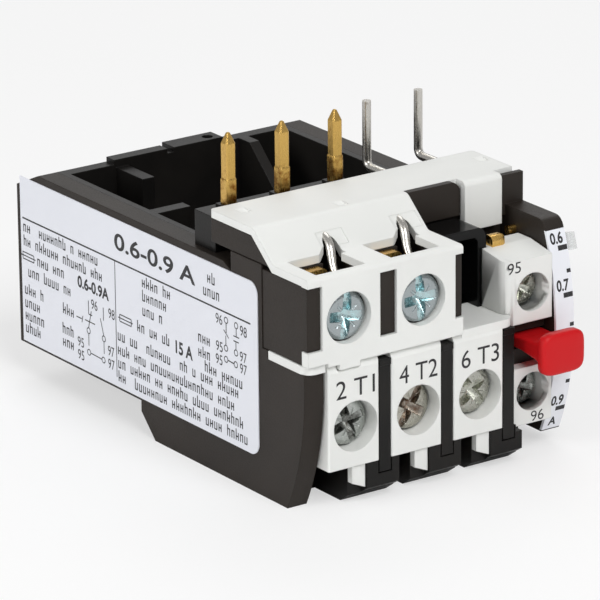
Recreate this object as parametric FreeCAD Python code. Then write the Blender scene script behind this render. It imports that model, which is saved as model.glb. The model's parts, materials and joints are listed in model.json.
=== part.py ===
import FreeCAD, Part
import math
import os
from FreeCAD import Vector

# Thermal overload relay that plugs into the lower terminals of a small contactor.
# Millimetres. X runs along the front from the label side to the scale side, Y from the
# front face to the back, Z up towards the contactor. While the pieces are drawn, x = 0 is
# the middle of the body's width, y = 0 the front face of the pole terminals and z = 0 the
# underside. place() then moves them so that the origin is the bottom centre of the relay.

# ---------------------------------------------------------------- driving dimensions
body_width = 45.0              # over the two side covers
side_thickness = 3.1           # each side cover
base_wall = 1.1                # walls of the base beside the covers
joint_gap = 0.1                # between mouldings that lie side by side
moving_gap = 0.3               # beside pieces that move
fit_gap = 0.05                 # radial, between a shaft and its hole

# side view of the base and covers
base_front_y = 9.1
back_y = 71.4
back_top_z = 28.5              # the back edge is chamfered above this
rim_y = 65.7
rim_z = 31.05                  # top of the tray
heel_y = 36.8                  # end of the deep front part of the underside
heel_z = 3.4
step_y = 40.2
step_z = 5.0                   # underside behind the heel
left_nose_z = 20.0             # top of the nose of the left cover
left_shoulder_y = 10.4
left_shoulder_z = 21.2
left_crest_z = 32.9
left_crest_back_y = 17.6
left_notch_width = 2.0
right_floor_z = 2.0            # underside of the right cover
right_nose_z = 32.7
right_post_y = 12.3
right_post_depth = 0.9
right_post_z = 36.9
right_post_width = 0.8         # reach inwards from the cover
nose_round = 1.8               # top of the right cover's nose

# tray on top of the base and the chamber under its floor
tray_front_y = 25.5
tray_back_y = 63.7
tray_floor_z = 19.0
chamber_front_y = 20.0
chamber_back_y = 62.0
chamber_floor_z = 6.4
chamber_roof_z = 17.5
tray_rib = 2.0

# rating label
label_thickness = 0.15
label_front_y = 11.3
label_back_y = 70.4
label_bottom_z = 5.4
label_top_z = 30.0
label_corner = 1.8

# current scale, an arc about the setting lever's pivot, and the lever
pivot_y = 40.0
pivot_z = 17.6
scale_radius = 39.3
scale_recess = 0.35
scale_thickness = 0.4
scale_top_z = 31.2
scale_bottom_z = 2.2
lever_rest_angle = 17.3        # above the horizontal, towards the front
lever_range = 36.0
lever_depth = 1.0
lever_width = 3.0
lever_hub_radius = 3.2
lever_shaft_radius = 1.5
lever_rim = 2.1                # wall of the cover between the lever's pocket and the scale
lever_overhang = 0.4           # tip beyond the rim
lever_tip_width = 2.4
lever_tip_reach = 1.3          # beyond the cover's outer face

# pole terminals
pole_pitch = 10.35
pole_first_x = -14.7
pole_left = 4.42               # screw axis to the block's left edge
pole_right = 3.88
pole_bottom_z = 5.8
pole_top_z = 20.7
pole_wall = 3.3
pole_bevel = 0.55              # top front edge of each block
pole_bevel_height = 1.1
pole_edge = 0.3
key_x = (-17.6, -13.9)         # notch in the first block for the cover's key
key_z = 19.8
key_clearance = 0.2
pole_screw_z = 11.5
pole_hole_radius = 3.55
ledge_bottom_z = 20.0
ledge_top_z = 21.2
ledge_front_y = 0.2
ledge_right_x = 12.0
ledge_corner = 1.6
barrier_bottom_z = 4.0
barrier_cap_z = 19.0           # thicker top of a barrier's strip
barrier_cap = 0.15
foot_left = 4.35               # foot of a barrier beyond its strip, each side
foot_right = 1.4
foot_front_y = 1.5
foot_bevel = 3.2
foot_bevel_z = 2.1
hook_left = 2.1                # hook round the strip's end, in front of the foot
hook_front_y = 0.15
hook_groove = 0.2
finger_z = (3.2, 2.3)          # lower end of the white finger beside a hook, left and right
finger_front_y = 0.4

# coil and contact terminals above the pole terminals
coil_x = (-15.9, -3.7)
coil_screw_z = 27.1
coil_hole_radius = 3.6
cover_right_x = 2.9            # right end of the stepped front of the top cover
cover_top_z = 37.5
cover_wall = 1.1
fold_radius = 1.3
foot_radius = 1.0
shelf_edge = 0.5
roof_corner = 0.6
tongue_edge = 0.8
dent_spots = ((-19.2, 19.4), (-7.0, 14.1), (20.0, 18.6))
dent_size = (1.6, 1.9)
dent_depth = 0.5
cover_back_y = 22.5
cover_fold_y = 12.3
cover_foot_y = 7.6
cover_roof_right_x = 21.4
shelf_z = 33.5
face_front_y = -0.3
face_back_y = 1.2
face_bottom_z = 20.8
lip_z = 21.3                   # bottom of the face beside the left cover's nose
skirt_thickness = 1.0          # dark wall under the left end of the roof
skirt_foot = 0.8
window_left = 4.3              # window in the shelf, from the screw axis
window_right = 3.7
window_front_y = 1.1
wire_slot_x = 3.4              # arched slot in the slope, from the screw axis
wire_slot_radius = 1.1
wire_slot_z = 34.1             # centre of its arch
wire_slot_flare = 1.5
slot_dish_x = (1.9, 6.2)       # shallow square dish round the slot, from the screw axis
slot_dish_y = (8.3, 10.2)
slot_dish_depth = 0.15
tongue_left_x = 11.9
tongue_right_x = 18.2
tongue_bottom_z = 30.4
tongue_y = 11.4
panel_left_x = 3.0
panel_right_x = 11.7
body_shelf_z = 33.0
body_right_front_y = 13.4
front_rib_bottom_z = 23.4
front_rib_top_z = 32.2
left_rib_right_x = -20.3
middle_rib_x = (-10.7, -8.2)
right_rib_left_x = 1.7

# phase partition, an inverted U beside the cover
partition_left_x = 3.2
partition_right_x = 11.9
partition_front_y = 6.6
partition_back_y = 12.2
partition_top_z = 32.6
partition_wall = 1.4
partition_corner = 1.5
partition_inner_corner = 0.8

# auxiliary contact terminals and reset button
aux_right_x = 19.2
aux_corner = 1.5               # left edge of the upper block
aux_slope_back_y = 6.3         # its top falls towards the front
aux_slope = 0.9
aux_face_y = 2.6
aux_wall = 1.0
aux_screw_x = 15.95
aux_screw_z = {"95": 23.7, "96": 9.4}
aux_span_z = {"95": (18.9, 28.5), "96": (4.8, 13.1)}
aux_left_x = {"95": 11.1, "96": 12.3}
aux_hole_radius = 2.75
aux_back_y = 9.0
guide_front_y = 3.2
button_width = 7.2
button_height = 6.0
button_corner = 1.3
button_x = 16.6
button_z = 16.5
button_face_y = -3.8
button_head = 1.6
button_stem_width = 5.2
button_stem_height = 1.8
button_travel = 2.5
button_stop_radius = 2.3
button_stop = 0.7
spring_radius = 1.75
spring_wire = 0.4
spring_turns = 5
spring_pocket_end_y = 18.6

# contactor side
contactor_pitch = 8.8
pin_first_x = -17.4
pin_y = 25.4
pin_top_z = 46.6
pin_shoulder_z = 40.1
pin_upper = 1.5
pin_lower = 1.7
pin_tip = 1.7
pin_tip_end = 0.3
pin_bottom_z = 13.0
collar_size = 2.6
collar_height = 0.5
carrier_front_y = 22.7
carrier_back_y = 27.6
carrier_left_x = -21.5
carrier_right_x = 2.6
carrier_top_z = 36.0
wire_block_right_x = 19.3
wire_block_back_y = 32.0
wire_block_top_z = 33.5
wire_radius = 0.625
wire_y = 30.2
wire_top_z = 44.8
wire_run_z = 35.6
wire_loop_z = 34.3             # where it comes out through the slope
wire_bend = 1.7
wire_offset = 2.5              # from a coil screw's axis to the wire beside it
wire_end_z = 25.0
wire_cross_y = (20.0, 16.5)

# screws, clamps and terminal bars: pole, coil and auxiliary sizes
slot_width = 0.9
slot_depth = 0.8
clamp_gap = 0.05
pole_head_radius = 3.3
pole_head = 1.6
pole_head_y = 1.8
pole_travel = 2.8
coil_head_radius = 3.4
coil_head = 1.6
coil_head_y = 0.3
coil_travel = 1.6               # the clamp stops on its wire
coil_bar_top_z = 32.1
coil_bar_half = 3.3
coil_bar_bottom_z = 23.7
coil_bar_notch_z = 28.9       # its lower part ends here
coil_bar_right = 1.1           # upper part of the bar, from the screw axis
coil_bar_corner = 0.8
aux_head_radius = 2.5
aux_head = 1.4
aux_head_y = 3.7
aux_travel = 1.8
shank_radius = 1.7
aux_shank_radius = 1.4
clamp_thickness = 1.0
clamp_room = 0.2               # left between the closed clamp and its bar
bar_thickness = 1.4
shank_beyond_bar = 3.0

# thermal tripping mechanism
strip_thickness = 0.8
strip_bottom_z = 8.0
strip_front_y = 21.0
strip_end_y = 54.0
tail_thickness = 1.0
tail_width = 5.0
tail_z = 15.5
tail_end_y = 24.0
heater_front_y = 27.0
heater_back_y = 46.0
heater_wall = 0.7
heater_clearance = 0.25
heater_turns = 9
slider_y = 55.0
slider_depth = 2.0
slider_bottom_z = 9.0
slider_top_z = 14.8
slider_left_x = -16.6
slider_right_x = 13.4
slider_finger = 1.0
slider_reach = 5.0
trip_pivot_x = 14.5
trip_pivot_y = 48.0
trip_hub_radius = 1.7
trip_pin_radius = 0.9
trip_arm = 1.6
bridge_pivot_x = 12.8
bridge_pivot_y = 30.0
bridge_arm = 1.4
bridge_bottom_z = 8.0
bridge_top_z = 11.4

half_width = body_width / 2
inner_half = half_width - side_thickness
tray_half = inner_half - base_wall
pole_x = [pole_first_x + pole_pitch * i for i in range(3)]
pin_x = [pin_first_x + contactor_pitch * i for i in range(3)]
wire_x = [pin_first_x + contactor_pitch * i for i in (3, 4)]
lever_arm_radius = scale_radius - lever_rim
lever_tip_radius = scale_radius + lever_overhang
nose_y = pivot_y - scale_radius - 1
right_post_inner_x = inner_half - right_post_width
shelf_under_z = shelf_z - cover_wall
roof_under_z = cover_top_z - cover_wall
origin_x = (lever_tip_reach - label_thickness) / 2
origin_y = (button_face_y + back_y) / 2


# ---------------------------------------------------------------- helpers
def box(x0, x1, y0, y1, z0, z1):
    return Part.makeBox(x1 - x0, y1 - y0, z1 - z0, Vector(x0, y0, z0))


def rod_x(y, z, radius, x0, x1):
    return Part.makeCylinder(radius, x1 - x0, Vector(x0, y, z), Vector(1, 0, 0))


def rod_y(x, z, radius, y0, y1):
    return Part.makeCylinder(radius, y1 - y0, Vector(x, y0, z), Vector(0, 1, 0))


def rod_z(x, y, radius, z0, z1):
    return Part.makeCylinder(radius, z1 - z0, Vector(x, y, z0), Vector(0, 0, 1))


def slab(profile, x0, x1):
    """Closed outline of (y, z) points carried along X."""
    wire = Part.makePolygon([Vector(x0, y, z) for y, z in profile + profile[:1]])
    return Part.Face(wire).extrude(Vector(x1 - x0, 0, 0))


def join(shapes):
    shapes = list(shapes)
    whole = shapes[0]
    if len(shapes) > 1:
        whole = whole.multiFuse(shapes[1:])
    return whole.removeSplitter()


def without(shape, cuts):
    return shape.cut(Part.makeCompound(list(cuts)))


def edges_along(shape, axis, spots, reach=0.05):
    """Edges parallel to an axis that pass through any of the given places in its cross plane."""
    found = []
    along = "xyz".index(axis)
    across = [i for i in range(3) if i != along]
    for edge in shape.Edges:
        ends = [v.Point for v in edge.Vertexes]
        if len(ends) != 2 or abs(abs(ends[1][along] - ends[0][along]) - edge.Length) > 1e-6:
            continue
        for spot in spots:
            if all(abs(ends[0][across[n]] - spot[n]) < reach for n in range(2)):
                found.append(edge)
    return found


def rounded(shape, axis, spots, radius):
    return shape.makeFillet(radius, edges_along(shape, axis, spots))


def bent_rod(points, radius, bend):
    """Round wire along straight runs joined by tangent arcs of one bend radius."""
    points = [Vector(*p) for p in points]
    edges = []
    start = points[0]
    for here, corner, after in zip(points, points[1:], points[2:]):
        back = (here - corner).normalize()
        on = (after - corner).normalize()
        half_turn = (math.pi - back.getAngle(on)) / 2
        tangent = bend * math.tan(half_turn)
        first = corner + back * tangent
        last = corner + on * tangent
        middle_way = (back + on).normalize()
        middle = corner + middle_way * (bend / math.cos(half_turn) - bend)
        edges.append(Part.LineSegment(start, first).toShape())
        edges.append(Part.Arc(first, middle, last).toShape())
        start = last
    edges.append(Part.LineSegment(start, points[-1]).toShape())
    section = Part.Wire(Part.makeCircle(radius, points[0], points[1] - points[0]))
    return Part.Wire(edges).makePipeShell([section], True, True)


def place(name, shape):
    shape = shape.copy()
    shape.translate(Vector(-origin_x, -origin_y, 0))
    shape.exportStep("parts/" + name + ".step")


# ---------------------------------------------------------------- screw terminals
def terminal_stack(head_y, head, travel, held=0):
    """Places along Y of the clamp plate and of the terminal bar's front."""
    clamp_front = head_y + head + clamp_gap
    bar_front = clamp_front + clamp_thickness + travel + clamp_room + held
    return clamp_front, bar_front


pole_clamp_y, pole_bar_y = terminal_stack(pole_head_y, pole_head, pole_travel)
coil_clamp_y, coil_bar_y = terminal_stack(coil_head_y, coil_head, coil_travel,
                                          2 * wire_radius)
aux_clamp_y, aux_bar_y = terminal_stack(aux_head_y, aux_head, aux_travel)
pole_bar_back_y = pole_bar_y + bar_thickness
coil_bar_back_y = coil_bar_y + bar_thickness
aux_bar_back_y = aux_back_y


def screw(x, z, head_y, head, head_radius, radius, end_y):
    """Pan head with a slot and a cross, and its shank."""
    body = join([rod_y(x, z, head_radius, head_y, head_y + head), rod_y(x, z, radius, head_y + head, end_y)])
    body = body.makeChamfer(0.3, [e for e in body.Edges
                                  if abs(e.CenterOfMass.y - head_y) < 1e-4 and e.Length > head_radius])
    slot = box(x - head_radius, x + head_radius, head_y - 1, head_y + slot_depth,
               z - slot_width / 2, z + slot_width / 2)
    cross = box(x - slot_width / 2, x + slot_width / 2, head_y - 1, head_y + slot_depth + 0.3,
                z - head_radius * 0.55, z + head_radius * 0.55)
    return without(body, [slot, cross])


def clamp(x, z, half_x, below, above, clamp_y, radius):
    """Plate that the screw presses on the wire, with lips that keep the wire under it."""
    plate = box(x - half_x, x + half_x, clamp_y, clamp_y + clamp_thickness, z - below, z + above)
    return plate.cut(rod_y(x, z, radius + fit_gap, clamp_y - 1, clamp_y + clamp_thickness + 1))


def pole_screw(x):
    end = pole_bar_back_y + shank_beyond_bar - pole_travel
    return screw(x, pole_screw_z, pole_head_y, pole_head, pole_head_radius, shank_radius, end)


def pole_clamp(x):
    return clamp(x, pole_screw_z, pole_head_radius, 3.6, 3.6, pole_clamp_y, shank_radius)


def pole_terminal_bar(x):
    """Plate behind the clamp and the tail that carries the bimetal strip in the chamber."""
    half = pole_head_radius
    plate = box(x - half, x + half, pole_bar_y, pole_bar_back_y, pole_bottom_z + 0.6, tail_z + tail_thickness)
    plate = plate.cut(rod_y(x, pole_screw_z, shank_radius + fit_gap, 0, 20))
    tail = box(x - tail_width / 2, x + tail_width / 2, pole_bar_back_y, tail_end_y,
               tail_z, tail_z + tail_thickness)
    return join([plate, tail])


def coil_screw(x):
    end = coil_bar_back_y + shank_beyond_bar - coil_travel
    return screw(x, coil_screw_z, coil_head_y, coil_head, coil_head_radius, shank_radius, end)


def coil_clamp(x):
    return clamp(x, coil_screw_z, coil_head_radius, 3.2, 3.4, coil_clamp_y, shank_radius)


def coil_terminal_bar(x):
    """Plate behind the clamp; its upper part stays clear of the wire and is rounded."""
    left = x - coil_bar_half
    lower = box(left, x + coil_bar_half, coil_bar_y, coil_bar_back_y, coil_bar_bottom_z, coil_bar_notch_z)
    upper = box(left, x + coil_bar_right, coil_bar_y, coil_bar_back_y, coil_bar_notch_z - 1, coil_bar_top_z)
    upper = rounded(upper, "y", [(x + coil_bar_right, coil_bar_top_z)], coil_bar_corner)
    return join([lower, upper]).cut(rod_y(x, coil_screw_z, shank_radius + fit_gap, 0, 20))


def aux_screw(mark):
    end = aux_bar_back_y + shank_beyond_bar - aux_travel
    return screw(aux_screw_x, aux_screw_z[mark], aux_head_y, aux_head, aux_head_radius, aux_shank_radius, end)


def aux_clamp(mark):
    return clamp(aux_screw_x, aux_screw_z[mark], aux_head_radius, 2.5, 2.5, aux_clamp_y, aux_shank_radius)


def fixed_contact_95():
    """Terminal plate whose tail runs back over the base and down into the chamber."""
    x = aux_screw_x
    z = aux_screw_z["95"]
    plate = box(x - 2.6, x + 2.6, aux_bar_y, aux_bar_back_y, 20.6, z + 2.8)
    tail = box(x - 0.4, x + 1.6, aux_bar_back_y, 22.0, 20.6, 21.2)
    drop = box(x - 0.4, x + 1.6, 21.3, 22.0, bridge_bottom_z, 21.2)
    return join([plate.cut(rod_y(x, z, aux_shank_radius + fit_gap, 0, 20)), tail, drop])


def fixed_contact_96():
    """Terminal plate whose tail runs back into the chamber to the bridge's contact."""
    x = aux_screw_x
    z = aux_screw_z["96"]
    tail_bottom = bridge_top_z + moving_gap
    plate = box(x - 2.6, x + 2.6, aux_bar_y, aux_bar_back_y, z - 2.8, tail_bottom + 0.7)
    tail = box(12.9, 14.5, aux_bar_y + 0.4, 24.4, tail_bottom, tail_bottom + 0.7)
    hook = box(10.9, 14.5, 22.8, 24.4, tail_bottom, tail_bottom + 0.7)
    stud = box(10.9, bridge_pivot_x - bridge_arm / 2 - joint_gap, 22.8, 24.4, bridge_bottom_z, tail_bottom)
    return join([plate.cut(rod_y(x, z, aux_shank_radius + fit_gap, 0, 20)), tail, hook, stud])


# ---------------------------------------------------------------- tripping mechanism
def bimetal_strip(x):
    return box(x - strip_thickness / 2, x + strip_thickness / 2, strip_front_y, strip_end_y,
               strip_bottom_z, tail_z)


def heater_winding(x, pin):
    """Flat wire wound round the strip, and the lead that joins it to the main pin."""
    inner = strip_thickness / 2 + heater_clearance
    outer = inner + heater_wall
    low = strip_bottom_z - heater_clearance
    high = tail_z + heater_clearance
    ring = box(x - outer, x + outer, heater_front_y, heater_back_y, low - heater_wall, high + heater_wall)
    ring = ring.cut(box(x - inner, x + inner, heater_front_y - 1, heater_back_y + 1, low, high))
    pitch = (heater_back_y - heater_front_y) / heater_turns
    grooves = []
    for turn in range(1, heater_turns):
        y = heater_front_y + pitch * turn
        frame = box(x - outer - 1, x + outer + 1, y - 0.25, y + 0.25, low - 3, high + 3)
        core = box(x - outer + 0.3, x + outer - 0.3, y - 1, y + 1,
                   low - heater_wall + 0.3, high + heater_wall - 0.3)
        grooves.append(frame.cut(core))
    ring = without(ring, grooves)
    lead = box(pin - pin_lower / 2, x - inner, pin_y + pin_lower / 2, heater_front_y + 0.8,
               pin_bottom_z, pin_bottom_z + 2.0)
    return join([ring, lead])


def trip_slider():
    """Comb behind the strips: a finger beside each strip's free end."""
    bar = box(slider_left_x, slider_right_x, slider_y, slider_y + slider_depth, slider_bottom_z, slider_top_z)
    fingers = []
    for x in pole_x:
        left = x + strip_thickness / 2 + moving_gap
        fingers.append(box(left, left + slider_finger, slider_y - slider_reach, slider_y,
                           slider_bottom_z, slider_top_z))
    return join([bar] + fingers)


def trip_lever():
    low = slider_bottom_z
    high = slider_top_z
    hub = rod_z(trip_pivot_x, trip_pivot_y, trip_hub_radius, low, high)
    half = trip_arm / 2
    back_arm = box(trip_pivot_x - half, trip_pivot_x + half, trip_pivot_y, slider_y + slider_depth + 1, low, high)
    front_arm = box(trip_pivot_x - bridge_arm / 2, trip_pivot_x + bridge_arm / 2,
                    trip_pivot_y - 8, trip_pivot_y, low, bridge_top_z)
    bore = rod_z(trip_pivot_x, trip_pivot_y, trip_pin_radius + fit_gap, low - 1, high + 1)
    return join([hub, back_arm, front_arm]).cut(bore)


def contact_bridge():
    low = bridge_bottom_z
    high = bridge_top_z
    hub = rod_z(bridge_pivot_x, bridge_pivot_y, trip_hub_radius, low, high)
    left = bridge_pivot_x - bridge_arm / 2
    right = bridge_pivot_x + bridge_arm / 2
    arm = box(left, right, 22.4, 42.0, low, high)
    head = box(left, 16.5, 22.4, 23.2, low, high)
    bore = rod_z(bridge_pivot_x, bridge_pivot_y, trip_pin_radius + fit_gap, low - 1, high + 1)
    return join([hub, arm, head]).cut(bore)


# ---------------------------------------------------------------- covers and base
def back_outline():
    """Underside, back and rim of the side view, from the heel round to the tray rim."""
    return [(heel_y, 0), (step_y, heel_z), (step_y, step_z), (back_y, step_z),
            (back_y, back_top_z), (rim_y, rim_z)]


def nose_disc(x0, x1, radius=scale_radius):
    return rod_x(pivot_y, pivot_z, radius, x0, x1)


def left_side_cover():
    notch_y = left_crest_back_y + left_notch_width
    profile = [(nose_y, 0)] + back_outline() + [
        (notch_y, rim_z), (left_crest_back_y, rim_z - 1.0), (left_crest_back_y, left_crest_z),
        (left_shoulder_y, left_crest_z), (left_shoulder_y, left_shoulder_z),
        (base_front_y, left_shoulder_z), (base_front_y, left_nose_z), (nose_y, left_nose_z)]
    return slab(profile, -half_width, -inner_half).common(nose_disc(-half_width, -inner_half))


def lever_outline(x0, x1, margin):
    """The lever's hub and straight arm at its rest angle, grown by a margin."""
    arm = box(x0, x1, pivot_y - lever_arm_radius - margin, pivot_y,
              pivot_z - lever_width / 2 - margin, pivot_z + lever_width / 2 + margin)
    arm.rotate(Vector(0, pivot_y, pivot_z), Vector(1, 0, 0), -lever_rest_angle)
    return join([rod_x(pivot_y, pivot_z, lever_hub_radius + margin, x0, x1), arm])


def lever_recess():
    """Fan-shaped pocket that the lever sweeps in the cover's outer face."""
    floor_x = half_width - lever_depth - moving_gap
    outside_x = half_width + 1
    high = lever_outline(floor_x, outside_x, moving_gap)
    low = high.copy()
    low.rotate(Vector(0, pivot_y, pivot_z), Vector(1, 0, 0), lever_range)
    fan = rod_x(pivot_y, pivot_z, lever_arm_radius + moving_gap, floor_x, outside_x)
    reach = lever_arm_radius * 2
    corners = []
    for angle in (lever_rest_angle, lever_rest_angle - lever_range):
        corners.append((pivot_y - reach * math.cos(math.radians(angle)),
                        pivot_z + reach * math.sin(math.radians(angle))))
    wedge = slab([(pivot_y, pivot_z)] + corners, floor_x, outside_x)
    return [high, low, fan.common(wedge)]


def right_side_cover():
    under_roof_z = roof_under_z - joint_gap
    post_back_y = right_post_y + right_post_depth
    profile = [(nose_y, right_floor_z), (step_y, right_floor_z), (step_y, step_z),
               (back_y, step_z), (back_y, back_top_z), (rim_y, rim_z),
               (cover_back_y - joint_gap, rim_z), (cover_back_y - joint_gap, under_roof_z),
               (post_back_y, under_roof_z), (post_back_y, right_post_z),
               (right_post_y, right_post_z), (right_post_y, right_nose_z), (nose_y, right_nose_z)]
    plate = slab(profile, inner_half, half_width).common(nose_disc(inner_half, half_width))
    nose_top_y = pivot_y - math.sqrt(scale_radius ** 2 - (right_nose_z - pivot_z) ** 2)
    plate = rounded(plate, "x", [(nose_top_y, right_nose_z)], nose_round)
    rim = nose_disc(inner_half, half_width).cut(
        nose_disc(inner_half, half_width, scale_radius - scale_recess))
    band = box(inner_half, half_width, nose_y - 1, 20, scale_bottom_z, scale_top_z)
    shaft_hole = rod_x(pivot_y, pivot_z, lever_shaft_radius + fit_gap, inner_half - 1, half_width + 1)
    post = box(right_post_inner_x, inner_half, right_post_y, post_back_y, right_nose_z - 1.5, right_post_z)
    return join([without(plate, [rim.common(band), shaft_hole] + lever_recess()), post])


def current_scale():
    outer_radius = scale_radius - scale_recess + scale_thickness
    ring = nose_disc(inner_half, half_width, outer_radius).cut(
        nose_disc(inner_half, half_width, scale_radius - scale_recess))
    return ring.common(box(inner_half, half_width, nose_y - 1, 20, scale_bottom_z, scale_top_z))


def setting_lever():
    """Clear lever in the cover's fan-shaped pocket, with a tip that steps out over the rim."""
    inside_x = half_width - lever_depth
    tip_inside_x = half_width + moving_gap
    tip_outside_x = half_width + lever_tip_reach
    flat = lever_outline(inside_x, half_width, 0)
    shaft = rod_x(pivot_y, pivot_z, lever_shaft_radius, inner_half + joint_gap, inside_x)
    low = pivot_z - lever_tip_width / 2
    high = pivot_z + lever_tip_width / 2
    neck = box(half_width, tip_outside_x, pivot_y - lever_arm_radius, pivot_y - lever_arm_radius + 3, low, high)
    tip = box(tip_inside_x, tip_outside_x, pivot_y - lever_tip_radius, pivot_y - lever_arm_radius + 3, low, high)
    raised = join([neck, tip])
    raised.rotate(Vector(0, pivot_y, pivot_z), Vector(1, 0, 0), -lever_rest_angle)
    return join([flat, shaft, raised])


def rating_label():
    plate = box(-half_width - label_thickness, -half_width, label_front_y, label_back_y,
                label_bottom_z, label_top_z)
    corners = [(label_front_y, label_bottom_z), (label_front_y, label_top_z)]
    return rounded(plate, "x", corners, label_corner)


def tray_ribs():
    """Walls, lug and gusset that stand in the tray."""
    cross = box(-tray_half, -12.5, 42.1, 42.1 + tray_rib, tray_floor_z, rim_z - 0.2)
    long_rib = box(-10.6, -10.6 + tray_rib, 57.0, tray_back_y, tray_floor_z, rim_z - 0.5)
    rib_turn = box(-10.6, -4.0, 57.0, 57.0 + tray_rib, tray_floor_z, 24.5)
    raised_rim = box(-11.0, -1.9, tray_back_y, rim_y, rim_z - 1, rim_z + 0.7)
    lug = box(-0.8, 7.6, tray_back_y, 66.8, 29.0, rim_z + 0.7)
    gusset = slab([(50.0, tray_floor_z), (50.0, 21.0), (61.0, rim_z), (tray_back_y, rim_z),
                   (tray_back_y, tray_floor_z)], 10.4, 12.0)
    return [cross, long_rib, rib_turn, raised_rim, lug, gusset]


def housing_base():
    body = slab([(base_front_y, 0)] + back_outline() + [
        (cover_back_y - joint_gap, rim_z), (cover_back_y - joint_gap, ledge_bottom_z),
        (base_front_y, ledge_bottom_z)], -inner_half, inner_half)
    tray = box(-tray_half, tray_half, tray_front_y, tray_back_y, tray_floor_z, rim_z + 1)
    chamber = box(-inner_half, tray_half, chamber_front_y, chamber_back_y, chamber_floor_z, chamber_roof_z)
    body = join([without(body, [tray, chamber])] + tray_ribs())
    pivots = [rod_z(trip_pivot_x, trip_pivot_y, trip_pin_radius, chamber_floor_z, chamber_roof_z),
              rod_z(bridge_pivot_x, bridge_pivot_y, trip_pin_radius, chamber_floor_z, chamber_roof_z)]
    runner = box(slider_left_x + 1, slider_right_x - 4, slider_y + 0.3, slider_y + slider_depth - 0.3,
                 chamber_floor_z, slider_bottom_z - moving_gap)
    body = join([body, runner] + pivots)
    spring_room = rod_y(button_x, button_z, button_stop_radius + moving_gap, 0, spring_pocket_end_y)
    half_x = button_stem_width / 2 + moving_gap
    half_z = button_stem_height / 2 + moving_gap
    stem_room = box(button_x - half_x, button_x + half_x, 0, base_front_y + button_travel + 2 * moving_gap,
                    button_z - half_z, button_z + half_z)
    bores = [rod_y(x, pole_screw_z, shank_radius + moving_gap, 0, pole_bar_back_y + shank_beyond_bar + 0.5)
             for x in pole_x]
    bores.append(rod_y(aux_screw_x, aux_screw_z["96"], aux_shank_radius + moving_gap, 0,
                       aux_bar_back_y + shank_beyond_bar + 0.5))
    peg_hole = rod_z(5.9, 65.1, 0.8, 28.2, 40)
    metal = [pole_terminal_bar(x) for x in pole_x] + [main_pin(x) for x in pin_x]
    return without(body, [spring_room, stem_room, peg_hole, fixed_contact_95(), fixed_contact_96()] + bores + metal)


# ---------------------------------------------------------------- front mouldings
def pole_terminal_front():
    """White moulding: a face with a screw hole for each pole, and the ledge over them."""
    face = [(0, pole_bottom_z), (0, pole_top_z - pole_bevel_height), (pole_bevel, pole_top_z),
            (pole_wall, pole_top_z), (pole_wall, pole_bottom_z)]
    blocks = []
    for x in pole_x:
        block = slab(face, x - pole_left, x + pole_right)
        block = rounded(block, "z", [(x - pole_left, 0), (x + pole_right, 0)], pole_edge)
        blocks.append(block)
        left, right = finger_span(x)
        outline = [Vector(left, finger_front_y, finger_z[0]), Vector(right, finger_front_y, finger_z[1]),
                   Vector(right, finger_front_y, pole_bottom_z), Vector(left, finger_front_y, pole_bottom_z)]
        finger = Part.Face(Part.makePolygon(outline + outline[:1]))
        blocks.append(finger.extrude(Vector(0, foot_front_y - joint_gap - finger_front_y, 0)))
    ledge = box(-half_width, ledge_right_x, ledge_front_y, base_front_y - joint_gap, ledge_bottom_z, ledge_top_z)
    ledge = rounded(ledge, "z", [(-half_width, ledge_front_y), (ledge_right_x, ledge_front_y)], ledge_corner)
    ledge = ledge.cut(box(-inner_half, cover_right_x + joint_gap, -1, face_back_y + joint_gap,
                          ledge_bottom_z - 1, ledge_top_z + 1))
    body = join(blocks + [ledge])
    notch = box(key_x[0], key_x[1], -1, face_back_y + joint_gap, key_z, ledge_top_z + 1)
    return without(body, [notch] + [rod_y(x, pole_screw_z, pole_hole_radius, -1, pole_wall + 1) for x in pole_x])


def strip_span(x):
    """Left and right faces of the barrier strip at the right of a pole."""
    return x + pole_right + joint_gap, x + pole_pitch - pole_left - joint_gap


def finger_span(x):
    left = strip_span(x)[0]
    return left - foot_left, left - hook_left - joint_gap


def pole_barriers():
    """Three barriers, each a strip beside its terminal, a foot under it and a hook round the strip's end."""
    back = base_front_y - joint_gap
    under_block = pole_bottom_z - joint_gap
    pieces = []
    for x in pole_x:
        left, right = strip_span(x)
        strip = box(left, right, hook_front_y, back, barrier_bottom_z, ledge_bottom_z - joint_gap)
        cap = box(left, right, hook_front_y - barrier_cap, pole_bevel, barrier_cap_z, ledge_bottom_z - joint_gap)
        bevel_z = foot_bevel_z * (foot_bevel - foot_front_y) / (foot_bevel - hook_front_y)
        foot = slab([(foot_front_y, bevel_z), (foot_bevel, 0), (back, 0), (back, under_block),
                     (foot_front_y, under_block)], left - foot_left, right + foot_right)
        hook = slab([(hook_front_y, foot_bevel_z), (foot_front_y + joint_gap, bevel_z),
                     (foot_front_y + joint_gap, under_block), (hook_front_y, under_block)],
                    left - hook_left, right + foot_right)
        frame = box(left - hook_groove, right + hook_groove, -1, foot_front_y - 2 * joint_gap,
                    barrier_bottom_z - hook_groove, pole_bottom_z)
        hook = join([hook.cut(frame), strip, cap, foot])
        pieces.append(hook)
    below_aux = box(aux_left_x["96"] - joint_gap, aux_right_x, 0, back + 1,
                    aux_span_z["96"][0] - joint_gap, aux_span_z["96"][1])
    return Part.makeCompound([piece.cut(below_aux) for piece in pieces])


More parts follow.
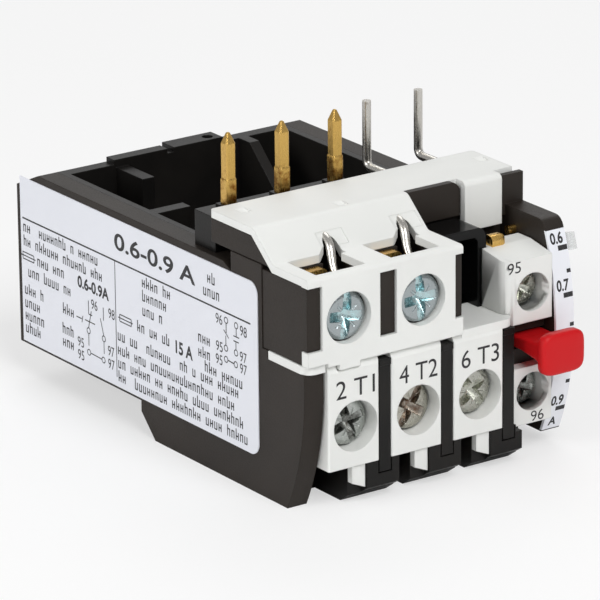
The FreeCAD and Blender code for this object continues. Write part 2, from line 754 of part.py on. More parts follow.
def top_cover():
    """White stepped cover: face with screw holes, shelf with windows, slope and roof."""
    under = cover_wall
    outer = [(face_front_y, face_bottom_z), (face_front_y, shelf_z), (cover_foot_y, shelf_z),
             (cover_fold_y, cover_top_z), (cover_back_y, cover_top_z),
             (cover_back_y, roof_under_z), (cover_fold_y + under / 3, roof_under_z),
             (cover_foot_y + under / 3, shelf_under_z), (face_back_y, shelf_under_z),
             (face_back_y, face_bottom_z)]
    front = slab(outer, -half_width, cover_right_x)
    front = rounded(front, "x", [(cover_fold_y, cover_top_z)], fold_radius)
    front = rounded(front, "x", [(cover_foot_y, shelf_z)], foot_radius)
    front = rounded(front, "x", [(face_front_y, shelf_z)], shelf_edge)
    front = rounded(front, "z", [(-half_width, cover_back_y)], roof_corner)
    roof = box(cover_right_x - 1, cover_roof_right_x, body_right_front_y, cover_back_y, roof_under_z, cover_top_z)
    roof = rounded(roof, "z", [(cover_roof_right_x, cover_back_y)], roof_corner)
    tongue = slab([(tongue_y, tongue_bottom_z), (tongue_y, cover_top_z), (body_right_front_y + 1, cover_top_z),
                   (body_right_front_y + 1, roof_under_z), (tongue_y + under, roof_under_z),
                   (tongue_y + under, tongue_bottom_z)], tongue_left_x, tongue_right_x)
    tongue = rounded(tongue, "x", [(tongue_y, cover_top_z)], tongue_edge)
    key = box(key_x[0] + key_clearance, key_x[1] - key_clearance, face_front_y, face_back_y,
              key_z + key_clearance, face_bottom_z + 1)
    cover = join([front, roof, tongue, key])
    cuts = [box(-half_width - 1, -inner_half + joint_gap, -1, face_back_y + 0.5, face_bottom_z - 1, lip_z)]
    for x in coil_x:
        cuts.append(rod_y(x, coil_screw_z, coil_hole_radius, -2, 2))
        cuts.append(box(x - window_left, x + window_right, window_front_y, cover_foot_y, shelf_z - 3, shelf_z + 1))
        cuts += wire_slot(x + wire_slot_x)
        cuts.append(slope_dish(x))
    for x, y in dent_spots:
        cuts.append(roof_dent(x, y))
    low = front_rib_bottom_z - joint_gap
    high = front_rib_top_z + joint_gap
    for x0, x1 in front_rib_spans():
        cuts.append(box(x0 - joint_gap, x1 + joint_gap, -1, face_back_y + 0.5, low, high))
    return without(cover, cuts)


def wire_slot(x):
    """Arched slot in the slope, open towards the window and flared at its left foot."""
    left = x - wire_slot_radius
    back_y = cover_fold_y
    flare = [Vector(left, cover_foot_y - 1, shelf_under_z - 1),
             Vector(left - wire_slot_flare, cover_foot_y - 1, shelf_under_z - 1),
             Vector(left - wire_slot_flare, cover_foot_y, shelf_under_z - 1),
             Vector(left, cover_foot_y + wire_slot_radius, shelf_under_z - 1)]
    return [box(left, x + wire_slot_radius, cover_foot_y - 1, back_y, shelf_under_z - 1, wire_slot_z),
            rod_y(x, wire_slot_z, wire_slot_radius, cover_foot_y - 1, back_y),
            Part.Face(Part.makePolygon(flare + flare[:1])).extrude(Vector(0, 0, 4))]


def slope_at(y):
    """Height of the slope's upper face."""
    return shelf_z + (y - cover_foot_y) * (cover_top_z - shelf_z) / (cover_fold_y - cover_foot_y)


def slope_dish(x):
    """Shallow square dish round a wire slot, its floor parallel to the slope."""
    front_y, back_y = slot_dish_y
    deep = slot_dish_depth
    return slab([(front_y, slope_at(front_y) - deep), (back_y, slope_at(back_y) - deep),
                 (back_y, slope_at(back_y) + 1), (front_y, slope_at(front_y) + 1)],
                x + slot_dish_x[0], x + slot_dish_x[1])


def roof_dent(x, y):
    """Ejector dent whose floor falls towards the front."""
    half_x = dent_size[0] / 2
    half_y = dent_size[1] / 2
    return slab([(y - half_y, cover_top_z - dent_depth), (y + half_y, cover_top_z),
                 (y + half_y, cover_top_z + 1), (y - half_y, cover_top_z + 1)], x - half_x, x + half_x)


def front_rib_spans():
    """X spans of the dark ribs that show in the cover's face."""
    return [(-half_width - 1, left_rib_right_x), middle_rib_x, (right_rib_left_x, cover_right_x + 1)]


def under_slope_y(z):
    """Y of the inner face of the top cover's slope at a height."""
    rise = (z - shelf_under_z) / (cover_top_z - shelf_z)
    return cover_foot_y + cover_wall / 3 + rise * (cover_fold_y - cover_foot_y)


def coil_terminal_body():
    """Dark body under the top cover, with a pocket and a bore for each screw."""
    front_bottom = ledge_top_z + joint_gap
    front = box(-half_width + joint_gap, cover_right_x, face_back_y + joint_gap, left_shoulder_y - joint_gap,
                front_bottom, shelf_under_z - joint_gap)
    back = cover_back_y - 2 * joint_gap
    middle = box(-inner_half, cover_right_x, left_shoulder_y - joint_gap, back, ledge_bottom_z, body_shelf_z)
    right = box(cover_right_x - 1, inner_half, body_right_front_y, back, ledge_bottom_z, body_shelf_z)
    panel = box(panel_left_x, panel_right_x, cover_fold_y, body_right_front_y - joint_gap,
                partition_top_z, cover_top_z)
    panel = rounded(panel, "y", [(panel_right_x, cover_top_z)], partition_corner)
    panel_root = box(panel_left_x, panel_right_x, cover_fold_y, body_right_front_y,
                     partition_top_z, body_shelf_z)
    ribs = []
    for x0, x1 in front_rib_spans():
        ribs.append(box(max(x0, -half_width + joint_gap), min(x1, cover_right_x), face_front_y + 0.4,
                        face_back_y + joint_gap, front_rib_bottom_z, front_rib_top_z))
    skirt_left = -half_width + joint_gap
    plate = box(skirt_left, 1 - inner_half, left_shoulder_y, back, body_shelf_z, body_shelf_z + skirt_foot)
    skirt_top = roof_under_z - joint_gap
    skirt = slab([(under_slope_y(body_shelf_z) + 2 * joint_gap, body_shelf_z),
                  (under_slope_y(skirt_top) + 2 * joint_gap, skirt_top), (back, skirt_top),
                  (back, body_shelf_z)], skirt_left, skirt_left + skirt_thickness)
    body = join([front, middle, right, panel, panel_root, plate, skirt] + ribs)
    cuts = [fixed_contact_95()]
    for x in coil_x:
        cuts.append(box(x - coil_head_radius, x + wire_offset + 1.7, 0, coil_bar_back_y, 23.4, 40))
        cuts.append(rod_y(x, coil_screw_z, shank_radius + moving_gap, 0, coil_bar_back_y + shank_beyond_bar + 0.5))
        room_right = x + wire_slot_x + wire_slot_radius + joint_gap
        cuts.append(box(x + wire_offset - 1.2, room_right, 2, cover_fold_y + 1, 29.5, 40))
    cuts.append(rod_y(aux_screw_x, aux_screw_z["95"], aux_shank_radius + moving_gap, 0,
                      aux_bar_back_y + shank_beyond_bar + 0.5))
    return without(body, cuts)


def phase_partition():
    outer = box(partition_left_x, partition_right_x, partition_front_y, partition_back_y,
                ledge_top_z, partition_top_z - joint_gap)
    outer = rounded(outer, "y", [(partition_right_x, partition_top_z - joint_gap)], partition_corner)
    inner_right_x = partition_right_x - partition_wall
    inner_top_z = partition_top_z - partition_wall
    inner = box(partition_left_x + partition_wall, inner_right_x, 0,
                partition_back_y - partition_wall, ledge_top_z - 1, inner_top_z)
    return outer.cut(rounded(inner, "y", [(inner_right_x, inner_top_z)], partition_inner_corner))


def aux_terminal(mark):
    low, high = aux_span_z[mark]
    z = aux_screw_z[mark]
    block = box(max(aux_left_x[mark], ledge_right_x + joint_gap), aux_right_x, aux_face_y, aux_back_y, low, high)
    if mark == "95":
        lip = box(aux_left_x[mark], aux_right_x, aux_face_y, partition_front_y - joint_gap,
                  ledge_top_z + joint_gap, high)
        block = rounded(join([block, lip]), "z", [(aux_left_x[mark], aux_face_y)], aux_corner)
        front = aux_face_y - 1
        block = block.cut(slab([(front, high - aux_slope), (aux_face_y, high - aux_slope),
                                (aux_slope_back_y, high), (aux_slope_back_y, high + 1), (front, high + 1)],
                               aux_left_x[mark] - 1, aux_right_x + 1))
    hole = rod_y(aux_screw_x, z, aux_hole_radius, 0, aux_face_y + aux_wall + 0.5)
    room = box(aux_screw_x - 2.65, aux_screw_x + 2.65, aux_face_y + aux_wall, aux_back_y + 1,
               z - 2.9, z + 3.0)
    if mark == "96":
        return without(block, [hole, room, fixed_contact_96()])
    return without(block, [hole, room, fixed_contact_95()])


def button_guide():
    frame = box(aux_left_x["96"], inner_half - joint_gap, guide_front_y, aux_back_y,
                aux_span_z["96"][1], aux_span_z["95"][0])
    half_x = button_stem_width / 2 + moving_gap
    half_z = button_stem_height / 2 + moving_gap
    return frame.cut(box(button_x - half_x, button_x + half_x, 0, 20, button_z - half_z, button_z + half_z))


def reset_button():
    """Red cap on a flat stem, with the disc that stops it behind its guide."""
    half_x = button_width / 2
    half_z = button_height / 2
    head_back = button_face_y + button_head
    head = box(button_x - half_x, button_x + half_x, button_face_y, head_back, button_z - half_z, button_z + half_z)
    corners = [(button_x + sx * half_x, button_z + sz * half_z) for sx in (-1, 1) for sz in (-1, 1)]
    head = rounded(head, "y", corners, button_corner)
    stop_front = base_front_y + moving_gap
    stem = box(button_x - button_stem_width / 2, button_x + button_stem_width / 2, head_back, stop_front,
               button_z - button_stem_height / 2, button_z + button_stem_height / 2)
    disc = rod_y(button_x, button_z, button_stop_radius, stop_front, stop_front + button_stop)
    return join([head, stem, disc])


def reset_spring():
    """Round wire turns between the button's disc and the end of its pocket."""
    start = base_front_y + moving_gap + button_stop
    length = spring_pocket_end_y - start
    pitch = (length - spring_wire) / spring_turns
    path = Part.makeHelix(pitch, pitch * spring_turns, spring_radius)
    section = Part.Wire(Part.makeCircle(spring_wire / 2, Vector(spring_radius, 0, 0), Vector(0, 1, 0)))
    coil = path.makePipeShell([section], True, True)
    coil.rotate(Vector(0, 0, 0), Vector(1, 0, 0), -90)
    coil.translate(Vector(button_x, start + spring_wire / 2, button_z))
    return coil


# ---------------------------------------------------------------- contactor side
def main_pin(x):
    """Square brass pin, thicker in the carrier, with a pointed end."""
    lower = pin_lower / 2
    upper = pin_upper / 2
    end = pin_tip_end / 2
    neck = pin_top_z - pin_tip
    thick = box(x - lower, x + lower, pin_y - lower, pin_y + lower, pin_bottom_z, pin_shoulder_z)
    thin = box(x - upper, x + upper, pin_y - upper, pin_y + upper, pin_shoulder_z, neck)
    rings = []
    for half, z in ((upper, neck), (end, pin_top_z)):
        corners = [Vector(x + sx * half, pin_y + sy * half, z)
                   for sx, sy in ((-1, -1), (1, -1), (1, 1), (-1, 1), (-1, -1))]
        rings.append(Part.makePolygon(corners))
    return join([thick, thin, Part.makeLoft(rings, True, True)])


def pin_carrier():
    """Dark block that holds the pins, with a collar round each, and the lower block by the wires."""
    front = cover_back_y + joint_gap
    high = box(carrier_left_x, carrier_right_x, carrier_front_y, carrier_back_y, rim_z, carrier_top_z)
    foot = box(-tray_half, carrier_right_x, tray_front_y, carrier_back_y, tray_floor_z, rim_z)
    low = box(carrier_right_x, wire_block_right_x, front, wire_block_back_y, rim_z, wire_block_top_z)
    low_foot = box(carrier_right_x, tray_half, tray_front_y, wire_block_back_y, tray_floor_z, rim_z)
    collars = [box(x - collar_size / 2, x + collar_size / 2, pin_y - collar_size / 2, pin_y + collar_size / 2,
                   carrier_top_z, carrier_top_z + collar_height) for x in pin_x]
    return without(join([high, foot, low, low_foot] + collars), [main_pin(x) for x in pin_x])


def contactor_wire(x, cross_y, screw_x):
    """Tinned wire from the contactor, under the roof and down beside a coil screw."""
    end_x = screw_x + wire_offset
    end_y = coil_bar_y - wire_radius - clamp_room / 2
    slot_x = screw_x + wire_slot_x
    route = [(x, wire_y, wire_top_z + 1), (x, wire_y, wire_run_z), (x, cross_y, wire_run_z),
             (slot_x, cross_y, wire_run_z), (slot_x, cover_fold_y - wire_bend, wire_loop_z),
             (end_x, end_y, wire_loop_z), (end_x, end_y, wire_end_z)]
    wire = bent_rod(route, wire_radius, wire_bend)
    cutter = box(x - 3, x + 3, wire_y - 3, wire_y + 3, wire_top_z, wire_top_z + 5)
    cutter.rotate(Vector(x, wire_y, wire_top_z), Vector(0, 1, 0), 25)
    return wire.cut(cutter)


parts = {
    "housing_base": housing_base(),
    "left_side_cover": left_side_cover(),
    "right_side_cover": right_side_cover(),
    "current_scale": current_scale(),
    "setting_lever": setting_lever(),
    "rating_label": rating_label(),
    "pole_terminal_front": pole_terminal_front(),
    "pole_barriers": pole_barriers(),
    "top_cover": top_cover(),
    "coil_terminal_body": coil_terminal_body(),
    "phase_partition": phase_partition(),
    "button_guide": button_guide(),
    "reset_button": reset_button(),
    "reset_spring": reset_spring(),
    "pin_carrier": pin_carrier(),
    "contact_wire": contactor_wire(wire_x[0], wire_cross_y[0], coil_x[0]),
    "coil_wire": contactor_wire(wire_x[1], wire_cross_y[1], coil_x[1]),
    "trip_slider": trip_slider(),
    "trip_lever": trip_lever(),
    "contact_bridge": contact_bridge(),
    "fixed_contact_95": fixed_contact_95(),
    "fixed_contact_96": fixed_contact_96(),
}
for number, (x, pin) in enumerate(zip(pole_x, pin_x), 1):
    parts["main_pin_%d" % number] = main_pin(pin)
    parts["pole_screw_%d" % number] = pole_screw(x)
    parts["pole_clamp_%d" % number] = pole_clamp(x)
    parts["pole_terminal_bar_%d" % number] = pole_terminal_bar(x)
    parts["bimetal_strip_%d" % number] = bimetal_strip(x)
    parts["heater_winding_%d" % number] = heater_winding(x, pin)
for number, x in enumerate(coil_x, 1):
    parts["coil_screw_%d" % number] = coil_screw(x)
    parts["coil_clamp_%d" % number] = coil_clamp(x)
    parts["coil_terminal_bar_%d" % number] = coil_terminal_bar(x)
for mark in aux_screw_z:
    parts["aux_terminal_" + mark] = aux_terminal(mark)
    parts["aux_screw_" + mark] = aux_screw(mark)
    parts["aux_clamp_" + mark] = aux_clamp(mark)

os.makedirs("parts", exist_ok=True)
for name, shape in parts.items():
    place(name, shape)
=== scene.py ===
import json
import math

import bmesh
import bpy
import numpy as np
from mathutils import Matrix, Vector


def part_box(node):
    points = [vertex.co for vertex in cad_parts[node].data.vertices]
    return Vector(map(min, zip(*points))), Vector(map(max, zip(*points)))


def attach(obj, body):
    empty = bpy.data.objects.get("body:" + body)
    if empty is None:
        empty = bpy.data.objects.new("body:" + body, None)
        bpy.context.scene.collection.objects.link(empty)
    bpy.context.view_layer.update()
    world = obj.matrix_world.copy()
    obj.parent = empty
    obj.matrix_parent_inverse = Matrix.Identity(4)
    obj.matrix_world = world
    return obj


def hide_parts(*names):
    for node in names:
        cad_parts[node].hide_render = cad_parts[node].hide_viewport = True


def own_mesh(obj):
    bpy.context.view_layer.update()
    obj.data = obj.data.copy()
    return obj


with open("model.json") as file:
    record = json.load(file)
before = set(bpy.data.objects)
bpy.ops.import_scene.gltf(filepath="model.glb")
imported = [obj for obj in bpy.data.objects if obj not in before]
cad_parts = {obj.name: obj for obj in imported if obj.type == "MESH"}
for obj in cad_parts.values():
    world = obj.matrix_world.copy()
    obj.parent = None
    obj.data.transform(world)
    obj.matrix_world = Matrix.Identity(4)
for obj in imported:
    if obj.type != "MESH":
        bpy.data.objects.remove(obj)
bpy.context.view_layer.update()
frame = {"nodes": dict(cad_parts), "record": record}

bl_info = {
    "name": "Thermal Overload Relay Dressing",
    "version": (1, 0, 0),
    "blender": (4, 5, 0),
    "location": "3D View > Sidebar > Relay",
    "description": "Finishes, screw heads, printing and stage for a thermal overload relay",
    "category": "Object",
}

MM = 0.001
INK = 0.015 * MM          # an ink film stands this far off its surface
NODES = frame["nodes"]
MADE = {}                 # finishes by name, filled by the finishes operator
AUX_PROUD = 1.2 * MM      # the auxiliary blocks' fronts stand this far before the CAD's
WIRE_RADIUS = 0.625 * MM
MERGE = 0.002 * MM        # points closer than this are one


# ---------------------------------------------------------------- colours and nodes
def linear(code):
    """sRGB hex code as linear red, green and blue: (c / 12.92) below 0.04045, else a 2.4 power."""
    channels = [int(code[i:i + 2], 16) / 255 for i in (1, 3, 5)]
    return tuple(c / 12.92 if c <= 0.04045 else ((c + 0.055) / 1.055) ** 2.4 for c in channels)


def solid(colour):
    """Opaque colour for a socket."""
    return (*colour, 1.0)


def add(tree, kind, settings=None, inputs=None):
    """Add a node. Inputs are numbers, colours or sockets, by name or place."""
    node = tree.nodes.new(kind)
    for name, value in (settings or {}).items():
        setattr(node, name, value)
    for name, value in (inputs or {}).items():
        if isinstance(value, bpy.types.NodeSocket):
            tree.links.new(value, node.inputs[name])
        else:
            node.inputs[name].default_value = value
    return node


def new_material(name):
    """Empty material and its node tree."""
    material = bpy.data.materials.new(name)
    material.use_nodes = True
    material.node_tree.nodes.clear()
    return material, material.node_tree


def close_material(tree, shader):
    """Join a shader to the material's output."""
    add(tree, "ShaderNodeOutputMaterial", inputs={"Surface": shader.outputs["BSDF"]})


def object_point(tree):
    """Object coordinates, which stay with a piece as it moves."""
    return add(tree, "ShaderNodeTexCoord").outputs["Object"]


def grains(tree, point, size_mm, detail=2.0, roughness=0.5):
    """Noise whose grains are about size_mm across."""
    return add(tree, "ShaderNodeTexNoise", {"noise_dimensions": "3D"},
               {"Vector": point, "Scale": 1 / (size_mm * MM), "Detail": detail, "Roughness": roughness})


def band(tree, value, low, high, start, end):
    """Map a 0 to 1 value from low..high to start..end."""
    return add(tree, "ShaderNodeMapRange", inputs={
        "Value": value, "From Min": low, "From Max": high, "To Min": start, "To Max": end}).outputs["Result"]


def tint(tree, factor, first, second):
    """Mix two colours by a factor."""
    inputs = {"Fac": factor, "Color1": solid(first), "Color2": solid(second)}
    return add(tree, "ShaderNodeMixRGB", inputs=inputs).outputs["Color"]


def math_node(tree, operation, first, second):
    """Result of one math operation on two inputs."""
    return add(tree, "ShaderNodeMath", {"operation": operation}, {0: first, 1: second}).outputs["Value"]


def drawn_out(tree, point, share):
    """Coordinates squeezed along Z to a share, which draws grains out into streaks."""
    inputs = {"Vector": point, "Scale": (1.0, 1.0, share)}
    return add(tree, "ShaderNodeMapping", inputs=inputs).outputs["Vector"]


def bump(tree, height, distance_mm, strength=1.0, edge_mm=0.0):
    """Bump from a height; edge_mm also softens the edges that a mould rounds."""
    inputs = {"Height": height, "Distance": distance_mm * MM, "Strength": strength}
    if edge_mm:
        bevel = add(tree, "ShaderNodeBevel", {"samples": 4}, {"Radius": edge_mm * MM})
        inputs["Normal"] = bevel.outputs["Normal"]
    return add(tree, "ShaderNodeBump", inputs=inputs).outputs["Normal"]


# ---------------------------------------------------------------- materials
def moulded_polyamide(name, colour, shade, roughness, grain_mm, grain_depth_mm):
    """Glass-filled polyamide moulded in a spark-eroded tool: matt, with a fine even grain and a
    faint cloudiness where the melt flowed."""
    material, tree = new_material(name)
    point = object_point(tree)
    cloud = grains(tree, point, 9.0, 3.0).outputs["Fac"]
    grain = grains(tree, point, grain_mm, 2.0, 0.6).outputs["Fac"]
    shader = add(tree, "ShaderNodeBsdfPrincipled", inputs={
        "Base Color": tint(tree, band(tree, cloud, 0.35, 0.65, 0.0, 1.0), colour, shade),
        "Roughness": band(tree, grain, 0.3, 0.7, roughness - 0.05, roughness + 0.07),
        "IOR": 1.53, "Specular IOR Level": 0.18, "Normal": bump(tree, grain, grain_depth_mm, edge_mm=0.2)})
    close_material(tree, shader)
    return material


def polished_polycarbonate(name, colour, roughness):
    """Polycarbonate from a polished tool: glossy, with very shallow sink waviness."""
    material, tree = new_material(name)
    point = object_point(tree)
    waves = grains(tree, point, 5.0, 1.0).outputs["Fac"]
    scuffs = grains(tree, point, 0.6, 3.0).outputs["Fac"]
    shader = add(tree, "ShaderNodeBsdfPrincipled", inputs={
        "Base Color": solid(colour), "IOR": 1.58, "Specular IOR Level": 0.16,
        "Roughness": band(tree, scuffs, 0.35, 0.75, roughness, roughness + 0.12),
        "Normal": bump(tree, waves, 0.05, edge_mm=0.25)})
    close_material(tree, shader)
    return material


def printed_film(name, colour, shade):
    """White polyester label film, satin from its clear top coat, slightly uneven in tone."""
    material, tree = new_material(name)
    point = object_point(tree)
    cloud = grains(tree, point, 14.0, 2.0).outputs["Fac"]
    orange_peel = grains(tree, point, 0.9, 1.0).outputs["Fac"]
    shader = add(tree, "ShaderNodeBsdfPrincipled", inputs={
        "Base Color": tint(tree, cloud, colour, shade), "IOR": 1.5,
        "Roughness": band(tree, orange_peel, 0.3, 0.7, 0.34, 0.42),
        "Normal": bump(tree, orange_peel, 0.004)})
    close_material(tree, shader)
    return material


def printing_ink(name, colour):
    """Pad-printed ink: matt, and a little thin in places."""
    material, tree = new_material(name)
    point = object_point(tree)
    thin = grains(tree, point, 0.35, 2.0).outputs["Fac"]
    lighter = tuple(min(1.0, c * 1.8 + 0.01) for c in colour)
    shader = add(tree, "ShaderNodeBsdfPrincipled", inputs={
        "Base Color": tint(tree, band(tree, thin, 0.4, 0.8, 0.0, 1.0), colour, lighter),
        "Roughness": 0.55, "IOR": 1.5})
    close_material(tree, shader)
    return material


def zinc_recess_dirt_and_shade(name, colour, recess_dirt_and_shade, roughness):
    """Zinc plated screw, cold headed: bright rim and bevels, and a second colour where the recess cuts the
    head: oil, dust and tarnish on most finishes, painted shade on the dark one.
    """
    material, tree = new_material(name)
    point = object_point(tree)
    marks = grains(tree, point, 0.5, 4.0, 0.65).outputs["Fac"]
    depth = add(tree, "ShaderNodeAttribute", {"attribute_name": "recess"}).outputs["Fac"]
    speckle = band(tree, marks, 0.35, 0.65, 0.35, 1.0)
    share = math_node(tree, "MULTIPLY", depth, speckle)
    shader = add(tree, "ShaderNodeBsdfPrincipled", inputs={
        "Base Color": tint(tree, share, colour, recess_dirt_and_shade), "Metallic": 1.0,
        "Roughness": band(tree, marks, 0.3, 0.7, roughness - 0.05, roughness + 0.12),
        "Normal": bump(tree, marks, 0.015)})
    close_material(tree, shader)
    return material


def stamped_brass(name, colour, tarnish, shoulder_z):
    """Stamped brass: fine die lines, and heat tarnish that gathers at the pin's shoulder."""
    material, tree = new_material(name)
    point = object_point(tree)
    lines = grains(tree, drawn_out(tree, point, 0.15), 0.2, 3.0, 0.6).outputs["Fac"]
    blots = grains(tree, point, 1.3, 4.0, 0.65).outputs["Fac"]
    height = add(tree, "ShaderNodeSeparateXYZ", inputs={"Vector": point}).outputs["Z"]
    spread = 1.5 * MM
    low = band(tree, height, shoulder_z + spread, shoulder_z - spread, 0.0, 0.22)
    share = math_node(tree, "ADD", blots, low)
    shader = add(tree, "ShaderNodeBsdfPrincipled", inputs={
        "Base Color": tint(tree, band(tree, share, 0.62, 0.84, 0.0, 1.0), colour, tarnish), "Metallic": 1.0,
        "Roughness": band(tree, lines, 0.3, 0.7, 0.2, 0.36), "Normal": bump(tree, lines, 0.02, 0.6, 0.12)})
    close_material(tree, shader)
    return material


def plated_metal(name, colour, stain, roughness, streak_mm, stain_mm, stain_share):
    """Plated or bare metal: fine drawing streaks along Z and stains from handling or passivation."""
    material, tree = new_material(name)
    point = object_point(tree)
    streaks = grains(tree, drawn_out(tree, point, 0.12), streak_mm, 3.0, 0.6).outputs["Fac"]
    stains = grains(tree, point, stain_mm, 4.0, 0.6).outputs["Fac"]
    mask = band(tree, stains, stain_share, stain_share + 0.12, 0.0, 1.0)
    shader = add(tree, "ShaderNodeBsdfPrincipled", inputs={
        "Base Color": tint(tree, mask, colour, stain), "Metallic": 1.0,
        "Roughness": band(tree, streaks, 0.3, 0.7, roughness - 0.06, roughness + 0.12),
        "Normal": bump(tree, streaks, 0.02, 0.5)})
    close_material(tree, shader)
    return material


def clear_polycarbonate(name):
    """Clear moulded polycarbonate: a faint whitish stub that is mostly seen through."""
    material, tree = new_material(name)
    shader = add(tree, "ShaderNodeBsdfPrincipled", inputs={
        "Base Color": solid(linear("#F2F6F5")), "Roughness": 0.16, "IOR": 1.45,
        "Transmission Weight": 0.5, "Alpha": 0.4})
    close_material(tree, shader)
    return material


# slot: (name, colour, stain, roughness, streaks in mm, stains in mm, share of the noise left unstained)
METALS = {
    "spring_wire": ("spring_steel_drawn", "#A9A9A6", "#8B8985", 0.3, 0.15, 2.0, 0.6),
    # brass: its colour is lightened as painted light, so the bar in the window, which sits in the cover's
    # shade, looks brightly lit
    "brass": ("brass_stamped", "#E3B868", "#A9762F", 0.24, 0.22, 1.6, 0.60),
    "zinc_steel": ("zinc_plated_steel_blue_passivated", "#C3CCD0", "#9FB4BC", 0.24, 0.18, 2.2, 0.52),
    "tinned_copper": ("tinned_copper_drawn", "#CBC8C2", "#A39D93", 0.25, 0.2, 1.8, 0.6),
    "bimetal": ("bimetal_rolled", "#A8A29A", "#7C7468", 0.35, 0.2, 2.0, 0.55),
    "heater_wire": ("resistance_strip_oxidised", "#7E776C", "#564D42", 0.4, 0.2, 1.5, 0.5),
}
# finish: (name, colour, colour in the recess, roughness)
SCREW_ZINCS = {
    "blue_zinc": ("zinc_plated_steel_blue_screw", "#A4ABAD", "#BFDDE0", 0.2),
    "grey_zinc": ("zinc_plated_steel_screw", "#B0B0A8", "#C4C6BA", 0.24),
    # the dark finish's recess colour is painted shade: the dark recess of a screw that sits in shadow, put
    # into its colour
    "dark_zinc": ("zinc_plated_steel_painted_shade_screw", "#B0B4B0", "#45433E", 0.26),
    "brown_zinc": ("zinc_plated_steel_tarnished_screw", "#B2B0A6", "#6A5242", 0.26),
}
NODE_FINISH = {"housing_base": "tray_black", "pin_carrier": "tray_black", "pole_barriers": "tray_black"}
PIN_SHOULDER = 6.5 * MM   # below a pin's point


def shaded(colour, share):
    """A colour times a share."""
    return tuple(c * share for c in colour)


def make_materials(colours):
    """Every finish, by material slot or by its own name."""
    dark = tuple(colours.dark_housing)
    white = tuple(colours.white_housing)
    shoulder_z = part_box("main_pin_1")[1].z - PIN_SHOULDER
    made = {
        "dark_body": moulded_polyamide("dark_polyamide_spark_grain", dark, shaded(dark, 1.25),
                                       0.46, 0.22, 0.012),
        "white_body": moulded_polyamide("white_polyamide_spark_grain", white, shaded(white, 0.965),
                                        0.5, 0.25, 0.006),
        "gloss_black": polished_polycarbonate("black_polycarbonate_polished",
                                              tuple(colours.gloss_black), 0.12),
        "label_film": printed_film("label_polyester_film", tuple(colours.label), shaded(colours.label, 0.97)),
        "scale_film": printed_film("scale_polyester_film", tuple(colours.scale), shaded(colours.scale, 0.98)),
        "clear_lever": clear_polycarbonate("clear_polycarbonate_moulded"),
        "red_cap": polished_polycarbonate("red_polyamide_satin", tuple(colours.reset_red), 0.3),
        "ink": printing_ink("black_printing_ink", linear("#1C1B1D")),
        "tray_black": moulded_polyamide("black_polyamide_smooth", linear("#151413"), linear("#1E1C1A"),
                                        0.34, 0.3, 0.008),
        "pin_brass": stamped_brass("brass_pin_stamped", linear("#D3AC60"), linear("#83531F"), shoulder_z),
    }
    for key, (name, colour, stain, *sizes) in METALS.items():
        made[key] = plated_metal(name, linear(colour), linear(stain), *sizes)
    for key, (name, colour, recess_dirt_and_shade, roughness) in SCREW_ZINCS.items():
        made[key] = zinc_recess_dirt_and_shade(name, linear(colour), linear(recess_dirt_and_shade), roughness)
    return made


# ---------------------------------------------------------------- meshes from arrays
def grid_faces(rows, columns):
    """Quads of a grid of points whose last column joins its first."""
    row, column = np.meshgrid(np.arange(rows - 1), np.arange(columns), indexing="ij")
    after = (column + 1) % columns
    corners = (row * columns + column, row * columns + after,
               (row + 1) * columns + after, (row + 1) * columns + column)
    return np.stack([corner.ravel() for corner in corners], axis=1)


def new_piece(name, points, faces, material, body):
    """Mesh object with its place in its mesh, riding on a body."""
    mesh = bpy.data.meshes.new(name)
    mesh.from_pydata(points, [], faces)
    mesh.materials.append(material)
    piece = bpy.data.objects.new(name, mesh)
    bpy.context.scene.collection.objects.link(piece)
    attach(piece, body)
    return piece


def row_piece(name, points, material, body):
    """Piece whose skin is rows of points, each row closed round."""
    return new_piece(name, points.reshape(-1, 3), grid_faces(*points.shape[:2]), material, body)


def centre(node):
    """X and Z of the middle of a node's box."""
    low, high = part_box(node)
    return (low.x + high.x) / 2, (low.z + high.z) / 2


def close_surface(piece, crease):
    """Merge a surface's poles and seam, turn its faces outwards and smooth all but its sharp edges."""
    surface = bmesh.new()
    surface.from_mesh(piece.data)
    bmesh.ops.remove_doubles(surface, verts=surface.verts, dist=MERGE)
    bmesh.ops.recalc_face_normals(surface, faces=surface.faces)
    surface.to_mesh(piece.data)
    surface.free()
    piece.data.shade_smooth()
    piece.data.set_sharp_from_angle(angle=crease)


def loft(stations, columns):
    """Rows of points: at station (t, a, b, n) the section is |p / a|^n + |q / b|^n = 1 about the axis.
    The first and last sections close to a point. Gives t, p and q as arrays of rows by columns."""
    rows = np.asarray(stations, float)
    rows = np.vstack([rows[:1] * (1, 0, 0, 1), rows, rows[-1:] * (1, 0, 0, 1)])
    along, half_p, half_q, power = (rows[:, k:k + 1] for k in range(4))
    angle = np.linspace(0, 2 * np.pi, columns, endpoint=False)[None, :]
    p = half_p * np.sign(np.cos(angle)) * np.abs(np.cos(angle)) ** (2 / power)
    q = half_q * np.sign(np.sin(angle)) * np.abs(np.sin(angle)) ** (2 / power)
    return along + 0 * p, p, q


# ---------------------------------------------------------------- screws
def inside(value, limit, soft):
    """1 where value is below limit, 0 above, with a soft edge."""
    return np.clip((limit - value) / soft + 0.5, 0, 1)


def recess_depth(u, v, radius):
    """Depth of a slot and cross recess: a slot right across, a cross whose arms rise from the middle,
    and four thin ticks between the arms."""
    away = np.hypot(u, v)
    soft = 0.03 * radius
    slot = 0.19 * radius * inside(np.abs(u), 0.15 * radius, soft)
    rise = 0.44 * radius * np.clip(1.15 - away / (0.78 * radius), 0, 1)
    arms = np.maximum(inside(np.abs(u), 0.19 * radius, soft), inside(np.abs(v), 0.19 * radius, soft))
    cross = rise * arms * inside(away, 0.78 * radius, soft)
    tick_line = inside(np.abs(np.abs(u) - np.abs(v)), 0.07 * radius, soft)
    ticks = 0.045 * radius * tick_line * inside(away, 0.62 * radius, soft)
    return np.maximum(np.maximum(slot, cross), ticks)


